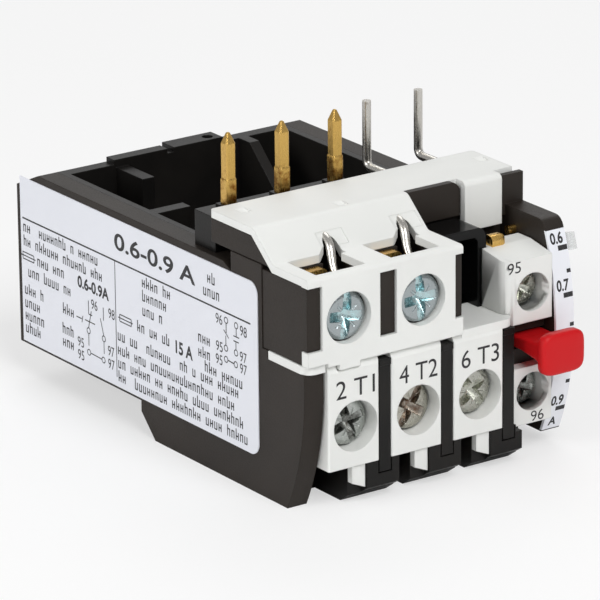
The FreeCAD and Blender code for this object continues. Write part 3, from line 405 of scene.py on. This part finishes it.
def screw_points(low, high, shank_radius, head, turn):
    """Screw along Y: a profile of radius and depth turned about the axis, from the shank's end round
    the head to its middle; each point's depth is the larger of the profile's and the recess's."""
    radius = (high.x - low.x) / 2
    length = high.y - low.y
    fillet = 0.22 * radius
    bend = np.linspace(0, np.pi / 2, 7)
    face = np.linspace(radius - fillet, 0, 56)
    chamfer = 0.25 * shank_radius
    profile_radius = np.concatenate([[0, shank_radius - chamfer, shank_radius, shank_radius, radius, radius],
                                     radius - fillet + fillet * np.cos(bend), face])
    crown = 0.05 * radius * (face / radius) ** 2
    edge = crown[0] + fillet * (1 - np.sin(bend))
    profile_depth = np.concatenate([[length, length, length - chamfer, head, head, edge[0] + 0.05 * radius],
                                    edge, crown])
    angle = np.linspace(0, 2 * np.pi, 240, endpoint=False)
    x = profile_radius[:, None] * np.cos(angle)
    z = profile_radius[:, None] * np.sin(angle)
    u = x * np.cos(turn) + z * np.sin(turn)
    v = z * np.cos(turn) - x * np.sin(turn)
    recess = recess_depth(u, v, radius)
    depth = np.maximum(profile_depth[:, None], recess)
    points = np.stack([(low.x + high.x) / 2 + x, low.y + depth, (low.z + high.z) / 2 + z], axis=-1)
    cut = np.clip((depth - profile_depth[:, None]) / (0.15 * radius), 0, 1)
    return points, cut


def make_screw(node, finish, turn, made, sizes):
    """Screw in place of its node; the attribute recess is 1 where the recess cuts the head."""
    low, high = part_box(node)
    small = node.startswith("aux")
    shank = sizes.small_shank if small else sizes.shank
    head = sizes.small_head if small else sizes.head
    points, cut = screw_points(low, high, shank / 2, head, turn)
    piece = row_piece(node + "_recessed", points, made[finish], node)
    piece.data.attributes.new("recess", "FLOAT", "POINT").data.foreach_set("value", cut.ravel())
    close_surface(piece, math.radians(40))
    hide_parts(node)


# ---------------------------------------------------------------- pins and button
def make_pin(node, made):
    """Stamped square pin: sections with cut corners along Z, wider below a shoulder, drawn to a point."""
    low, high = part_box(node)
    wide = (high.x - low.x) / 2
    narrow = wide - 0.1 * MM
    top = high.z
    slope = 0.1 * MM
    point = 1.5 * MM
    stations = ((low.z, wide), (top - PIN_SHOULDER - slope, wide), (top - PIN_SHOULDER + slope, narrow),
                (top - point, narrow), (top - 0.4 * MM, 0.46 * narrow), (top - 0.08 * MM, 0.3 * narrow),
                (top, 0.16 * narrow))
    height, half = (np.array(column) for column in zip((low.z, 0), *stations, (top, 0)))
    near = 0.8
    corner = np.array([(1, -near), (1, near), (near, 1), (-near, 1),
                       (-1, near), (-1, -near), (-near, -1), (near, -1)])
    x = (low.x + high.x) / 2 + half[:, None] * corner[:, 0]
    y = (low.y + high.y) / 2 + half[:, None] * corner[:, 1]
    points = np.stack([x, y, height[:, None] + 0 * x], axis=-1)
    piece = row_piece(node + "_stamped", points, made["pin_brass"], "housing")
    close_surface(piece, math.radians(15))
    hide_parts(node)


def make_button(made):
    """Push cap: superellipse sections along Y, from a slightly domed face round its edge, down a flared
    neck to a flat stem and the stop disc."""
    low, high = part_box("reset_button")
    x, z = centre("reset_button")
    a = (high.x - low.x) / 2
    b = (high.z - low.z) / 2
    proud = 1.2 * MM
    face = low.y - proud
    rim = np.linspace(0, np.pi / 2, 7)
    edge = 0.55 * MM
    dome = 0.12 * MM
    rear_edge = 0.15 * MM
    squareness = 4.4
    crown = [(face + dome * share ** 4, share * (a - edge), share * (b - edge), squareness)
             for share in (0.15, 0.4, 0.65, 0.85, 0.95)]
    side = [(face + dome + edge * (1 - math.cos(t)), a - edge * (1 - math.sin(t)),
             b - edge * (1 - math.sin(t)), squareness) for t in rim]
    back = face + 1.6 * MM
    stem = 2.6 * MM
    disc = 2.3 * MM
    disc_front = high.y - 1.1 * MM
    tail = [(back - rear_edge, a, b, squareness), (back, a - rear_edge, b - rear_edge, squareness),
            (back, 0.86 * a, 0.74 * b, 5), (back + 1.4 * MM, 0.78 * a, 0.5 * b, 6),
            (back + 3.6 * MM + proud, stem, 0.95 * MM, 8), (disc_front, stem, 0.9 * MM, 8),
            (disc_front, disc, disc, 2), (high.y, disc, disc, 2)]
    along, p, q = loft(crown + side + tail, 160)
    points = np.stack([x + p, along, z + q], axis=-1)
    piece = row_piece("reset_cap", points, made["red_cap"], "reset_button")
    close_surface(piece, math.radians(50))
    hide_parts("reset_button")


def make_wire(node, screw, cross, made):
    """Tinned wire: a polyline whose corners are cut at their quarter points, four times over, and a
    circle carried along it. It comes down behind the roof, forward, across under the roof to its slot,
    out through the slope and down beside the coil screw."""
    low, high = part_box(node)
    x = high.x - WIRE_RADIUS
    y = high.y - WIRE_RADIUS
    axis = centre(screw)[0]
    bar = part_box("coil_terminal_bar_1")[0].y
    run = 35.6 * MM
    bend = 2.4 * MM
    cross_y = bar + cross
    slot = axis + 3.5 * MM
    end = axis + 2.5 * MM
    clamped = bar - 0.79 * MM
    route = np.array([
        (x, y, high.z), (x, y, run + bend), (x, y, run), (x, y - bend, run), (x, cross_y + bend, run),
        (x, cross_y, run), (x - bend, cross_y, run), (slot + bend, cross_y, run), (slot, cross_y, run),
        (slot, cross_y - bend, run), (slot, bar + 6.5 * MM, 35.1 * MM), (slot, bar + 4.0 * MM, 35.0 * MM),
        (axis + 3.1 * MM, bar + 2.2 * MM, 34.1 * MM), (end + 0.1 * MM, bar + 1.1 * MM, 31.5 * MM),
        (end, bar - 0.7 * MM, 29.9 * MM), (end, clamped, 28.0 * MM), (end, clamped, low.z)])
    for _ in range(4):
        early = 0.75 * route[:-1] + 0.25 * route[1:]
        late = 0.25 * route[:-1] + 0.75 * route[1:]
        inner = np.stack([early, late], axis=1).reshape(-1, 3)
        route = np.vstack([route[:1], inner[1:-1], route[-1:]])
    tangent = np.gradient(route, axis=0)
    tangent /= np.linalg.norm(tangent, axis=1, keepdims=True)
    first = np.cross(tangent, (1.0, -1.0, 1.0))
    first /= np.linalg.norm(first, axis=1, keepdims=True)
    second = np.cross(tangent, first)
    radius = np.full(len(route) + 2, WIRE_RADIUS)
    radius[[0, -1]] = 0
    rows = np.concatenate([[0], np.arange(len(route)), [len(route) - 1]])
    angle = np.linspace(0, 2 * np.pi, 24, endpoint=False)[None, :, None]
    ring_points = first[rows][:, None] * np.cos(angle) + second[rows][:, None] * np.sin(angle)
    points = route[rows][:, None] + radius[:, None, None] * ring_points
    piece = row_piece(node + "_tinned", points, made["tinned_copper"], "housing")
    close_surface(piece, math.radians(40))
    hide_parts(node)


def merged_copy(node, name, finish, made):
    """A housing node's CAD mesh, merged, as a new piece in the node's place."""
    surface = bmesh.new()
    surface.from_mesh(NODES[node].data)
    bmesh.ops.remove_doubles(surface, verts=surface.verts, dist=MERGE)
    mesh = bpy.data.meshes.new(name)
    surface.to_mesh(mesh)
    surface.free()
    mesh.materials.clear()
    mesh.materials.append(made[finish])
    piece = bpy.data.objects.new(name, mesh)
    bpy.context.scene.collection.objects.link(piece)
    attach(piece, "housing")
    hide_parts(node)
    return piece


def make_aux_block(node, raised, made):
    """Block of contact 95 or 96: the CAD block, its front drawn forward and its top and foot raised."""
    piece = merged_copy(node, node + "_front", "white_body", made)
    low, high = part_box(node)
    flat = np.empty(len(piece.data.vertices) * 3)
    piece.data.vertices.foreach_get("co", flat)
    points = flat.reshape(-1, 3)
    points[points[:, 2] > high.z - 2.0 * MM, 2] += raised
    points[points[:, 2] < low.z + 1.6 * MM, 2] += 0.6 * raised
    points[points[:, 1] < low.y + 3.2 * MM, 1] -= AUX_PROUD
    piece.data.vertices.foreach_set("co", points.ravel())
    close_surface(piece, math.radians(30))


def make_spring(made):
    """Return spring: the CAD coil, merged into a mesh of its own. The real one shortens towards its rear end
    as the button is pressed; nothing here moves it.
    """
    piece = merged_copy("reset_spring", "reset_spring_coil", "spring_wire", made)
    close_surface(piece, math.radians(40))
    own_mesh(piece)


def make_contact_roll(made):
    """Rolled end of contact 95 on top of its block, and the strip behind it: sections along X."""
    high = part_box("aux_terminal_95")[1]
    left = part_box("phase_partition")[1].x + 0.2 * MM
    front = high.y - 1.9 * MM
    base = high.z + 0.05 * MM
    roll = [(left + 0.5 * MM, 1.0 * MM, 1.05 * MM, 2.6), (left + 2.3 * MM, 1.0 * MM, 1.05 * MM, 2.6),
            (left + 2.75 * MM, 0.8 * MM, 0.9 * MM, 2.6), (left + 2.95 * MM, 0.5 * MM, 0.55 * MM, 2.2)]
    rail_left = left + 6.0 * MM
    rail_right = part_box("right_side_cover")[0].x + 0.8 * MM
    rail = [(rail_left, 0.5 * MM, 0.6 * MM, 3), (rail_right, 0.5 * MM, 0.6 * MM, 3)]
    strips = (("contact_95_roll", roll, front, base + 1.35 * MM),
              ("contact_95_rail", rail, high.y + 1.2 * MM, base + 1.2 * MM))
    for name, stations, y, z in strips:
        along, p, q = loft(stations, 64)
        points = np.stack([along, y + p, z + q], axis=-1)
        piece = row_piece(name, points, made["brass"], "housing")
        close_surface(piece, math.radians(35))


# ---------------------------------------------------------------- printing, drawn in u and v millimetres
def strokes(ends, width):
    """Straight strokes: each is a rectangle of that width about the line between its two ends."""
    ends = np.asarray(ends, float).reshape(-1, 2, 2)
    along = ends[:, 1] - ends[:, 0]
    side = np.stack([-along[:, 1], along[:, 0]], axis=1)
    side *= width / 2 / np.linalg.norm(along, axis=1, keepdims=True)
    corners = np.stack([ends[:, 0] - side, ends[:, 1] - side, ends[:, 1] + side, ends[:, 0] + side], axis=1)
    return corners.reshape(-1, 2), np.arange(4 * len(corners)).reshape(-1, 4).tolist()


def line(*points, width=0.16):
    """Strokes through points."""
    return strokes([[points[k], points[k + 1]] for k in range(len(points) - 1)], width)


def ring(u, v, radius=0.42, width=0.15):
    """Circle as sixteen strokes."""
    angle = np.linspace(0, 2 * np.pi, 17)
    circle = np.stack([u + radius * np.cos(angle), v + radius * np.sin(angle)], axis=1)
    return line(*circle.tolist(), width=width)


def greeked(left, right, base, height, seed):
    """A row that only looks like small print: pairs of stems at even pitch with a bar between them at
    the top, middle or foot, taller stems here and there, and gaps between groups."""
    pitch = 0.92 * height
    dice = np.random.default_rng(seed)
    u = np.arange(left, right - 0.5 * pitch, pitch)
    u = u[dice.random(len(u)) > 0.15]
    stem = 0.46 * height
    tall = np.where(dice.random(len(u)) > 0.75, 1.45, 1.0) * height
    level = base + height * dice.choice([0.06, 0.5, 0.94], len(u))
    foot = base + 0 * u
    ends = np.concatenate([np.stack([u, foot, u, base + tall], axis=1),
                           np.stack([u + stem, foot, u + stem, base + height + 0 * u], axis=1),
                           np.stack([u, level, u + stem, level], axis=1)])
    return strokes(ends, 0.18 * height)


def lettering(text, centre, base, height, width, bold=0.0):
    """Text set in an upright sans, scaled to a height and a width, its foot on the base line."""
    curve = bpy.data.curves.new("lettering", "FONT")
    curve.body = text
    curve.offset = bold
    curve.resolution_u = 6
    holder = bpy.data.objects.new("lettering", curve)
    mesh = bpy.data.meshes.new_from_object(holder)
    flat = np.empty(len(mesh.vertices) * 3)
    mesh.vertices.foreach_get("co", flat)
    flat = flat.reshape(-1, 3)[:, :2]
    low = flat.min(axis=0)
    span = flat.max(axis=0) - low
    faces = [list(polygon.vertices) for polygon in mesh.polygons]
    bpy.data.objects.remove(holder)
    points = (flat - low) / span * (width, height) + (centre - width / 2, base)
    return points, faces


def print_on(name, shapes, place, made):
    """One mesh of ink from shapes; place turns arrays of u and v into points of the surface."""
    points = []
    faces = []
    for flat, polygons in shapes:
        start = sum(map(len, points))
        faces += [[k + start for k in polygon] for polygon in polygons]
        points.append(flat)
    flat = np.concatenate(points)
    new_piece(name, place(flat[:, 0], flat[:, 1]), faces, made["ink"], "housing")


def front_face(y):
    """u is X and v is Z on a plane facing the front."""
    return lambda u, v: np.stack([u * MM, np.full(len(u), y - INK), v * MM], axis=1)


def label_shapes():
    """Rating label: rules, rating, contact symbols and rows of greeked small print. u runs forward from
    the rear edge, v up from the foot; rows are (left, right, base)."""
    small = 1.12
    shapes = [line((0.5, 18.5), (57.5, 18.5), width=0.24), line((24.4, 1.4), (24.4, 18.5), width=0.16),
              lettering("0.6-0.9 A", 34.4, 20.2, 2.5, 20.0, 0.018),
              lettering("0.6-0.9A", 18.7, 12.0, 1.8, 8.0, 0.03),
              lettering("15 A", 41.4, 9.2, 1.9, 4.2, 0.03)]
    rows = ((0.8, 20.5, 16.5), (0.8, 21.5, 14.4), (4.3, 12.2, 12.2), (0.8, 12.8, 10.0), (0.8, 5.6, 7.2),
            (0.8, 6.4, 5.2), (0.8, 5.8, 3.3), (0.8, 5.0, 1.4), (10.8, 13.4, 7.0), (10.6, 14.2, 4.0),
            (10.6, 14.2, 2.1), (46.4, 50.6, 21.6), (46.4, 50.6, 19.6), (31.3, 38.0, 16.5), (31.3, 37.6, 14.5),
            (31.3, 36.6, 12.4), (29.9, 39.0, 9.7), (45.0, 48.6, 12.5), (45.0, 48.6, 10.4), (46.5, 56.2, 8.6),
            (24.9, 56.7, 7.0), (24.9, 53.8, 4.9), (24.9, 56.2, 2.9), (24.9, 56.4, 0.9))
    shapes += [greeked(left, right, base, small, seed) for seed, (left, right, base) in enumerate(rows)]
    for u, v in ((0.4, 12.9), (25.4, 10.4)):
        shapes.append(line((u, v + 0.5), (u + 2.9, v + 0.5), (u + 2.9, v - 0.5), (u, v - 0.5), (u, v + 0.5)))
        shapes.append(line((u - 0.4, v), (u + 3.3, v)))
    numbers = (("96", 18.9, 9.7), ("98", 23.3, 9.6), ("95", 15.2, 3.2), ("95", 15.2, 1.3),
               ("97", 23.0, 4.0), ("97", 23.0, 2.1), ("96", 50.0, 16.4), ("98", 55.8, 16.2),
               ("95", 50.0, 12.5), ("95", 49.9, 10.6), ("97", 55.7, 12.5), ("97", 55.7, 10.8))
    shapes += [lettering(text, u, v, 1.45, 1.6) for text, u, v in numbers]
    rings = ((17.3, 6.2), (21.2, 6.1), (17.3, 3.0), (21.0, 2.9), (51.7, 17.4), (54.1, 17.3), (51.6, 13.4),
             (54.0, 13.4), (51.6, 11.8), (53.9, 11.7))
    shapes += [ring(u, v) for u, v in rings]
    contacts = (((17.4, 10.7), (17.4, 8.7), (18.3, 8.7)), ((17.3, 6.6), (18.1, 9.3)),
                ((17.3, 5.8), (17.3, 4.0)), ((16.4, 7.6), (19.0, 7.6)), ((14.2, 7.5), (15.6, 7.5)),
                ((15.6, 7.0), (15.9, 8.0)), ((21.2, 10.7), (21.2, 8.8)), ((21.2, 6.5), (20.4, 8.9)),
                ((21.2, 5.7), (21.2, 3.9)), ((17.7, 3.0), (20.6, 2.9)), ((51.7, 17.0), (51.7, 15.6)),
                ((51.1, 15.9), (52.3, 15.0)), ((51.6, 15.2), (51.6, 13.8)), ((54.1, 16.9), (54.1, 15.7)),
                ((53.4, 15.7), (54.8, 15.7)), ((54.0, 15.0), (54.0, 13.8)), ((53.4, 15.0), (54.7, 15.0)),
                ((52.0, 11.8), (53.5, 11.7)))
    shapes += [line(*points) for points in contacts]
    return shapes


def scale_shapes(left, right, radius):
    """Current scale: v is the arc length above the pivot. Numbers, a thick tick under each, short ticks
    midway and the unit at the foot."""
    middle = (left + right) / 2
    turns = {"0.6": 18.45, "0.7": 8.9, "0.8": -3.5, "0.9": -16.0}
    arcs = [math.radians(turn) * radius for turn in turns.values()]
    shapes = [lettering(text, middle - 0.1, arc - 0.8, 1.65, 2.1, 0.03) for text, arc in zip(turns, arcs)]
    ticks = [arc - 1.4 for arc in arcs]
    halfway = [(a + b) / 2 for a, b in zip(ticks, ticks[1:])]
    edge = right - 0.08
    shapes += [line((right - 1.65, v), (edge, v), width=0.7) for v in ticks]
    shapes += [line((right - 0.75, v), (edge, v), width=0.55) for v in halfway]
    shapes.append(lettering("A", middle - 0.1, arcs[-1] - 4.2, 1.45, 1.3, 0.03))
    return shapes


# ---------------------------------------------------------------- sizes and colours a user would change
class RelayColours(bpy.types.PropertyGroup):
    dark_housing: bpy.props.FloatVectorProperty(
        name="Dark housing", description="Base, covers and barriers", subtype="COLOR", size=3,
        min=0, max=1, default=linear("#28231F"))
    white_housing: bpy.props.FloatVectorProperty(
        name="White housing", description="Top cover and terminal faces", subtype="COLOR", size=3,
        min=0, max=1, default=linear("#E9EAE7"))
    gloss_black: bpy.props.FloatVectorProperty(
        name="Gloss black", description="Phase partition", subtype="COLOR", size=3,
        min=0, max=1, default=linear("#0D0D0D"))
    label: bpy.props.FloatVectorProperty(
        name="Label", description="Rating label film", subtype="COLOR", size=3,
        min=0, max=1, default=linear("#E3E5EC"))
    scale: bpy.props.FloatVectorProperty(
        name="Scale", description="Current scale film", subtype="COLOR", size=3,
        min=0, max=1, default=linear("#EDEFF5"))
    reset_red: bpy.props.FloatVectorProperty(
        name="Reset red", description="Reset button", subtype="COLOR", size=3,
        min=0, max=1, default=linear("#C8171C"))


class RelaySizes(bpy.types.PropertyGroup):
    view_azimuth: bpy.props.FloatProperty(
        name="View azimuth", description="Direction the camera looks, from +Y towards +X", subtype="ANGLE",
        default=math.radians(34.87))
    view_elevation: bpy.props.FloatProperty(
        name="View elevation", description="Camera height angle", subtype="ANGLE",
        default=math.radians(19.04))
    view_roll: bpy.props.FloatProperty(
        name="View roll", description="Camera roll", subtype="ANGLE", default=math.radians(-0.56))
    view_place: bpy.props.FloatVectorProperty(
        name="View place", description="Where the camera stands", subtype="TRANSLATION", unit="LENGTH",
        size=3, default=(-0.3986, -0.5712, 0.2571))
    shank: bpy.props.FloatProperty(
        name="Shank", description="Diameter of the pole and coil screws", unit="LENGTH", default=3.4 * MM)
    small_shank: bpy.props.FloatProperty(
        name="Small shank", description="Diameter of the auxiliary screws", unit="LENGTH", default=2.8 * MM)
    head: bpy.props.FloatProperty(
        name="Head", description="Depth of the pole and coil screw heads", unit="LENGTH", default=1.6 * MM)
    small_head: bpy.props.FloatProperty(
        name="Small head", description="Depth of the auxiliary screw heads", unit="LENGTH", default=1.4 * MM)
    pivot_y: bpy.props.FloatProperty(
        name="Pivot Y", description="Axis of the current scale's arc", unit="LENGTH", default=6.2 * MM)
    pivot_z: bpy.props.FloatProperty(
        name="Pivot Z", description="Height of the current scale's axis", unit="LENGTH", default=17.6 * MM)
    view_lens: bpy.props.FloatProperty(
        name="Lens", description="Focal length on a 36 mm sensor", subtype="DISTANCE_CAMERA", default=317.5)


# ---------------------------------------------------------------- stage
class RELAY_OT_stage(bpy.types.Operator):
    """Floor, soft lights and camera"""
    bl_idname = "relay.stage"
    bl_label = "Stage"

    def execute(self, context):
        sizes = context.scene.relay_sizes
        make_floor()
        make_lights()
        make_camera(sizes)
        context.scene.view_settings.view_transform = "Standard"
        return {"FINISHED"}


def make_floor():
    """A pale sheet: z = 0 over the whole square, with the corners at plus and minus 3 m."""
    half = 3.0
    mesh = bpy.data.meshes.new("floor")
    corners = [(-half, -half, 0), (half, -half, 0), (half, half, 0), (-half, half, 0)]
    mesh.from_pydata(corners, [], [(0, 1, 2, 3)])
    floor = bpy.data.objects.new("floor", mesh)
    bpy.context.scene.collection.objects.link(floor)
    material, tree = new_material("pale_paper_sweep")
    shade = add(tree, "ShaderNodeBsdfDiffuse", inputs={"Color": solid(linear("#F7F7F7"))})
    white = add(tree, "ShaderNodeEmission", inputs={"Color": (1, 1, 1, 1), "Strength": 1.0})
    path = add(tree, "ShaderNodeLightPath")
    share = math_node(tree, "MULTIPLY", path.outputs["Is Camera Ray"], 0.55)
    mix = add(tree, "ShaderNodeMixShader", inputs={0: share, 1: shade.outputs[0], 2: white.outputs[0]})
    add(tree, "ShaderNodeOutputMaterial", inputs={"Surface": mix.outputs[0]})
    mesh.materials.append(material)


def make_lights():
    """Three soft boxes, and a white surround that the camera and clear rays see at full strength, mirror
    rays at less than half and all others at a quarter."""
    boxes = (
        ("key_light", (-0.10, -0.75, 0.75), 0.55, 6.7),
        ("side_light", (-0.85, 0.05, 0.40), 0.50, 3.6),
        ("back_light", (0.45, 0.55, 0.70), 0.60, 2.4),
    )
    for name, place, size, power in boxes:
        light = bpy.data.lights.new(name, "AREA")
        light.shape = "SQUARE"
        light.size = size
        light.energy = power
        lamp = bpy.data.objects.new(name, light)
        bpy.context.scene.collection.objects.link(lamp)
        lamp.location = place
        lamp.rotation_euler = (Vector((0, 0, 0.02)) - Vector(place)).to_track_quat("-Z", "Y").to_euler()
    world = bpy.data.worlds.new("surround")
    bpy.context.scene.world = world
    world.use_nodes = True
    tree = world.node_tree
    tree.nodes.clear()
    path = add(tree, "ShaderNodeLightPath")
    seen = math_node(tree, "MAXIMUM", path.outputs["Is Camera Ray"], path.outputs["Is Transmission Ray"])
    glossy = math_node(tree, "MULTIPLY", path.outputs["Is Glossy Ray"], 0.25)
    strength = band(tree, math_node(tree, "MAXIMUM", seen, glossy), 0.0, 1.0, 0.26, 1.0)
    surround = add(tree, "ShaderNodeBackground", inputs={"Color": (1, 1, 1, 1), "Strength": strength})
    add(tree, "ShaderNodeOutputWorld", inputs={"Surface": surround.outputs[0]})


def make_camera(sizes):
    """Camera looking along its azimuth and elevation: its right is level and its up is right cross
    forward, both turned by the roll."""
    place = sizes.view_place
    azimuth = sizes.view_azimuth
    elevation = sizes.view_elevation
    roll = sizes.view_roll
    forward = Vector((math.sin(azimuth) * math.cos(elevation), math.cos(azimuth) * math.cos(elevation),
                      -math.sin(elevation)))
    level = Vector((math.cos(azimuth), -math.sin(azimuth), 0))
    rise = level.cross(forward)
    right = level * math.cos(roll) + rise * math.sin(roll)
    up = right.cross(forward)
    camera = bpy.data.objects.new("camera", bpy.data.cameras.new("camera"))
    camera.matrix_world = Matrix((
        (right.x, up.x, -forward.x, place[0]), (right.y, up.y, -forward.y, place[1]),
        (right.z, up.z, -forward.z, place[2]), (0, 0, 0, 1)))
    camera.data.lens = sizes.view_lens
    camera.data.sensor_width = 36
    camera.data.clip_start = 0.01
    bpy.context.scene.collection.objects.link(camera)
    bpy.context.scene.camera = camera


# ---------------------------------------------------------------- pieces
class RELAY_OT_finishes(bpy.types.Operator):
    """Give every CAD node the finish of its material slot or its own"""
    bl_idname = "relay.finishes"
    bl_label = "Finishes"

    def execute(self, context):
        made = make_materials(context.scene.relay_colours)
        for part in frame["record"]["subparts"]:
            mesh = NODES[part["node"]].data
            mesh.materials.clear()
            mesh.materials.append(made[NODE_FINISH.get(part["node"], part["material_slot"])])
        MADE.update(made)
        return {"FINISHED"}


class RELAY_OT_screws(bpy.types.Operator):
    """Seven terminal screws with slot and cross recesses, each turned its own way"""
    bl_idname = "relay.screws"
    bl_label = "Screws"

    def execute(self, context):
        # pole screw 1 and screw 96 take the dark finish, which paints shade into their recesses
        for node, finish, turn in (
                ("pole_screw_1", "dark_zinc", 20), ("pole_screw_2", "brown_zinc", -32),
                ("pole_screw_3", "grey_zinc", 38), ("coil_screw_1", "blue_zinc", -6),
                ("coil_screw_2", "blue_zinc", 4), ("aux_screw_95", "grey_zinc", 60),
                ("aux_screw_96", "dark_zinc", -15)):
            make_screw(node, finish, math.radians(turn), MADE, context.scene.relay_sizes)
        return {"FINISHED"}


class RELAY_OT_pins(bpy.types.Operator):
    """Three stamped pins that plug into the contactor"""
    bl_idname = "relay.pins"
    bl_label = "Pins"

    def execute(self, context):
        for number in (1, 2, 3):
            make_pin("main_pin_%d" % number, MADE)
        return {"FINISHED"}


class RELAY_OT_wires(bpy.types.Operator):
    """Two tinned wires from the contactor's coil and contact"""
    bl_idname = "relay.wires"
    bl_label = "Wires"

    def execute(self, context):
        make_wire("contact_wire", "coil_screw_1", 14.0 * MM, MADE)
        make_wire("coil_wire", "coil_screw_2", 10.5 * MM, MADE)
        return {"FINISHED"}


class RELAY_OT_button(bpy.types.Operator):
    """Red reset button"""
    bl_idname = "relay.button"
    bl_label = "Reset button"

    def execute(self, context):
        make_button(MADE)
        return {"FINISHED"}


class RELAY_OT_aux_blocks(bpy.types.Operator):
    """White blocks of the two auxiliary terminals"""
    bl_idname = "relay.aux_blocks"
    bl_label = "Auxiliary terminal blocks"

    def execute(self, context):
        make_aux_block("aux_terminal_95", 1.0 * MM, MADE)
        make_aux_block("aux_terminal_96", 0.0, MADE)
        return {"FINISHED"}


class RELAY_OT_spring(bpy.types.Operator):
    """Return spring behind the reset button"""
    bl_idname = "relay.spring"
    bl_label = "Reset spring"

    def execute(self, context):
        make_spring(MADE)
        return {"FINISHED"}


class RELAY_OT_contact_roll(bpy.types.Operator):
    """Brass of contact 95 that shows over its block"""
    bl_idname = "relay.contact_roll"
    bl_label = "Contact 95 brass"

    def execute(self, context):
        make_contact_roll(MADE)
        return {"FINISHED"}


class RELAY_OT_terminal_marks(bpy.types.Operator):
    """Plain terminal numbers on the white fronts"""
    bl_idname = "relay.terminal_marks"
    bl_label = "Terminal marks"

    def execute(self, context):
        pole_shapes = []
        for number, text in enumerate(("2 T1", "4 T2", "6 T3"), 1):
            screw = "pole_screw_%d" % number
            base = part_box(screw)[1].z / MM + 0.95
            pole_shapes.append(lettering(text, centre(screw)[0] / MM, base, 2.55, 6.3))
        print_on("pole_marks", pole_shapes, front_face(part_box("pole_terminal_front")[0].y), MADE)
        aux_shapes = []
        for text, right, rise, height, width in (("95", -3.2, 3.2, 1.6, 2.25), ("96", 0.85, -4.4, 1.5, 2.2)):
            x, z = centre("aux_screw_" + text)
            aux_shapes.append(lettering(text, x / MM + right, z / MM + rise, height, width))
        print_on("aux_marks", aux_shapes, front_face(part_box("aux_terminal_95")[0].y - AUX_PROUD), MADE)
        return {"FINISHED"}


class RELAY_OT_label_print(bpy.types.Operator):
    """Printing on the rating label"""
    bl_idname = "relay.label_print"
    bl_label = "Label printing"

    def execute(self, context):
        low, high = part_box("rating_label")
        print_on("label_print", label_shapes(), lambda u, v: np.stack(
            [np.full(len(u), low.x - INK), high.y - u * MM, low.z + v * MM], axis=1), MADE)
        return {"FINISHED"}


class RELAY_OT_scale_print(bpy.types.Operator):
    """Numbers and ticks round the current scale"""
    bl_idname = "relay.scale_print"
    bl_label = "Scale printing"

    def execute(self, context):
        sizes = context.scene.relay_sizes
        low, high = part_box("current_scale")
        radius = sizes.pivot_y - low.y + INK

        def around(u, v):
            turn = v * MM / radius
            return np.stack([u * MM, sizes.pivot_y - radius * np.cos(turn),
                             sizes.pivot_z + radius * np.sin(turn)], axis=1)

        print_on("scale_print", scale_shapes(low.x / MM, high.x / MM, radius / MM), around, MADE)
        return {"FINISHED"}


class RELAY_PT_panel(bpy.types.Panel):
    """Sidebar panel with the sizes, colours and pieces"""
    bl_idname = "RELAY_PT_panel"
    bl_label = "Overload relay"
    bl_space_type = "VIEW_3D"
    bl_region_type = "UI"
    bl_category = "Relay"

    def draw(self, context):
        for group in (context.scene.relay_sizes, context.scene.relay_colours):
            for name in group.__annotations__:
                self.layout.prop(group, name)
        for operator in OPERATORS:
            self.layout.operator(operator.bl_idname)


OPERATORS = (RELAY_OT_stage, RELAY_OT_finishes, RELAY_OT_screws, RELAY_OT_pins, RELAY_OT_wires,
             RELAY_OT_aux_blocks, RELAY_OT_button, RELAY_OT_spring, RELAY_OT_contact_roll,
             RELAY_OT_terminal_marks, RELAY_OT_label_print, RELAY_OT_scale_print)
CLASSES = (RelayColours, RelaySizes) + OPERATORS + (RELAY_PT_panel,)


def register():
    for item in CLASSES:
        bpy.utils.register_class(item)
    bpy.types.Scene.relay_sizes = bpy.props.PointerProperty(type=RelaySizes)
    bpy.types.Scene.relay_colours = bpy.props.PointerProperty(type=RelayColours)


def unregister():
    del bpy.types.Scene.relay_colours
    del bpy.types.Scene.relay_sizes
    for item in reversed(CLASSES):
        bpy.utils.unregister_class(item)


def main():
    register()
    bpy.ops.relay.stage()
    bpy.ops.relay.finishes()
    bpy.ops.relay.screws()
    bpy.ops.relay.pins()
    bpy.ops.relay.wires()
    bpy.ops.relay.aux_blocks()
    bpy.ops.relay.button()
    bpy.ops.relay.spring()
    bpy.ops.relay.contact_roll()
    bpy.ops.relay.terminal_marks()
    bpy.ops.relay.label_print()
    bpy.ops.relay.scale_print()


if __name__ == "__main__":
    main()
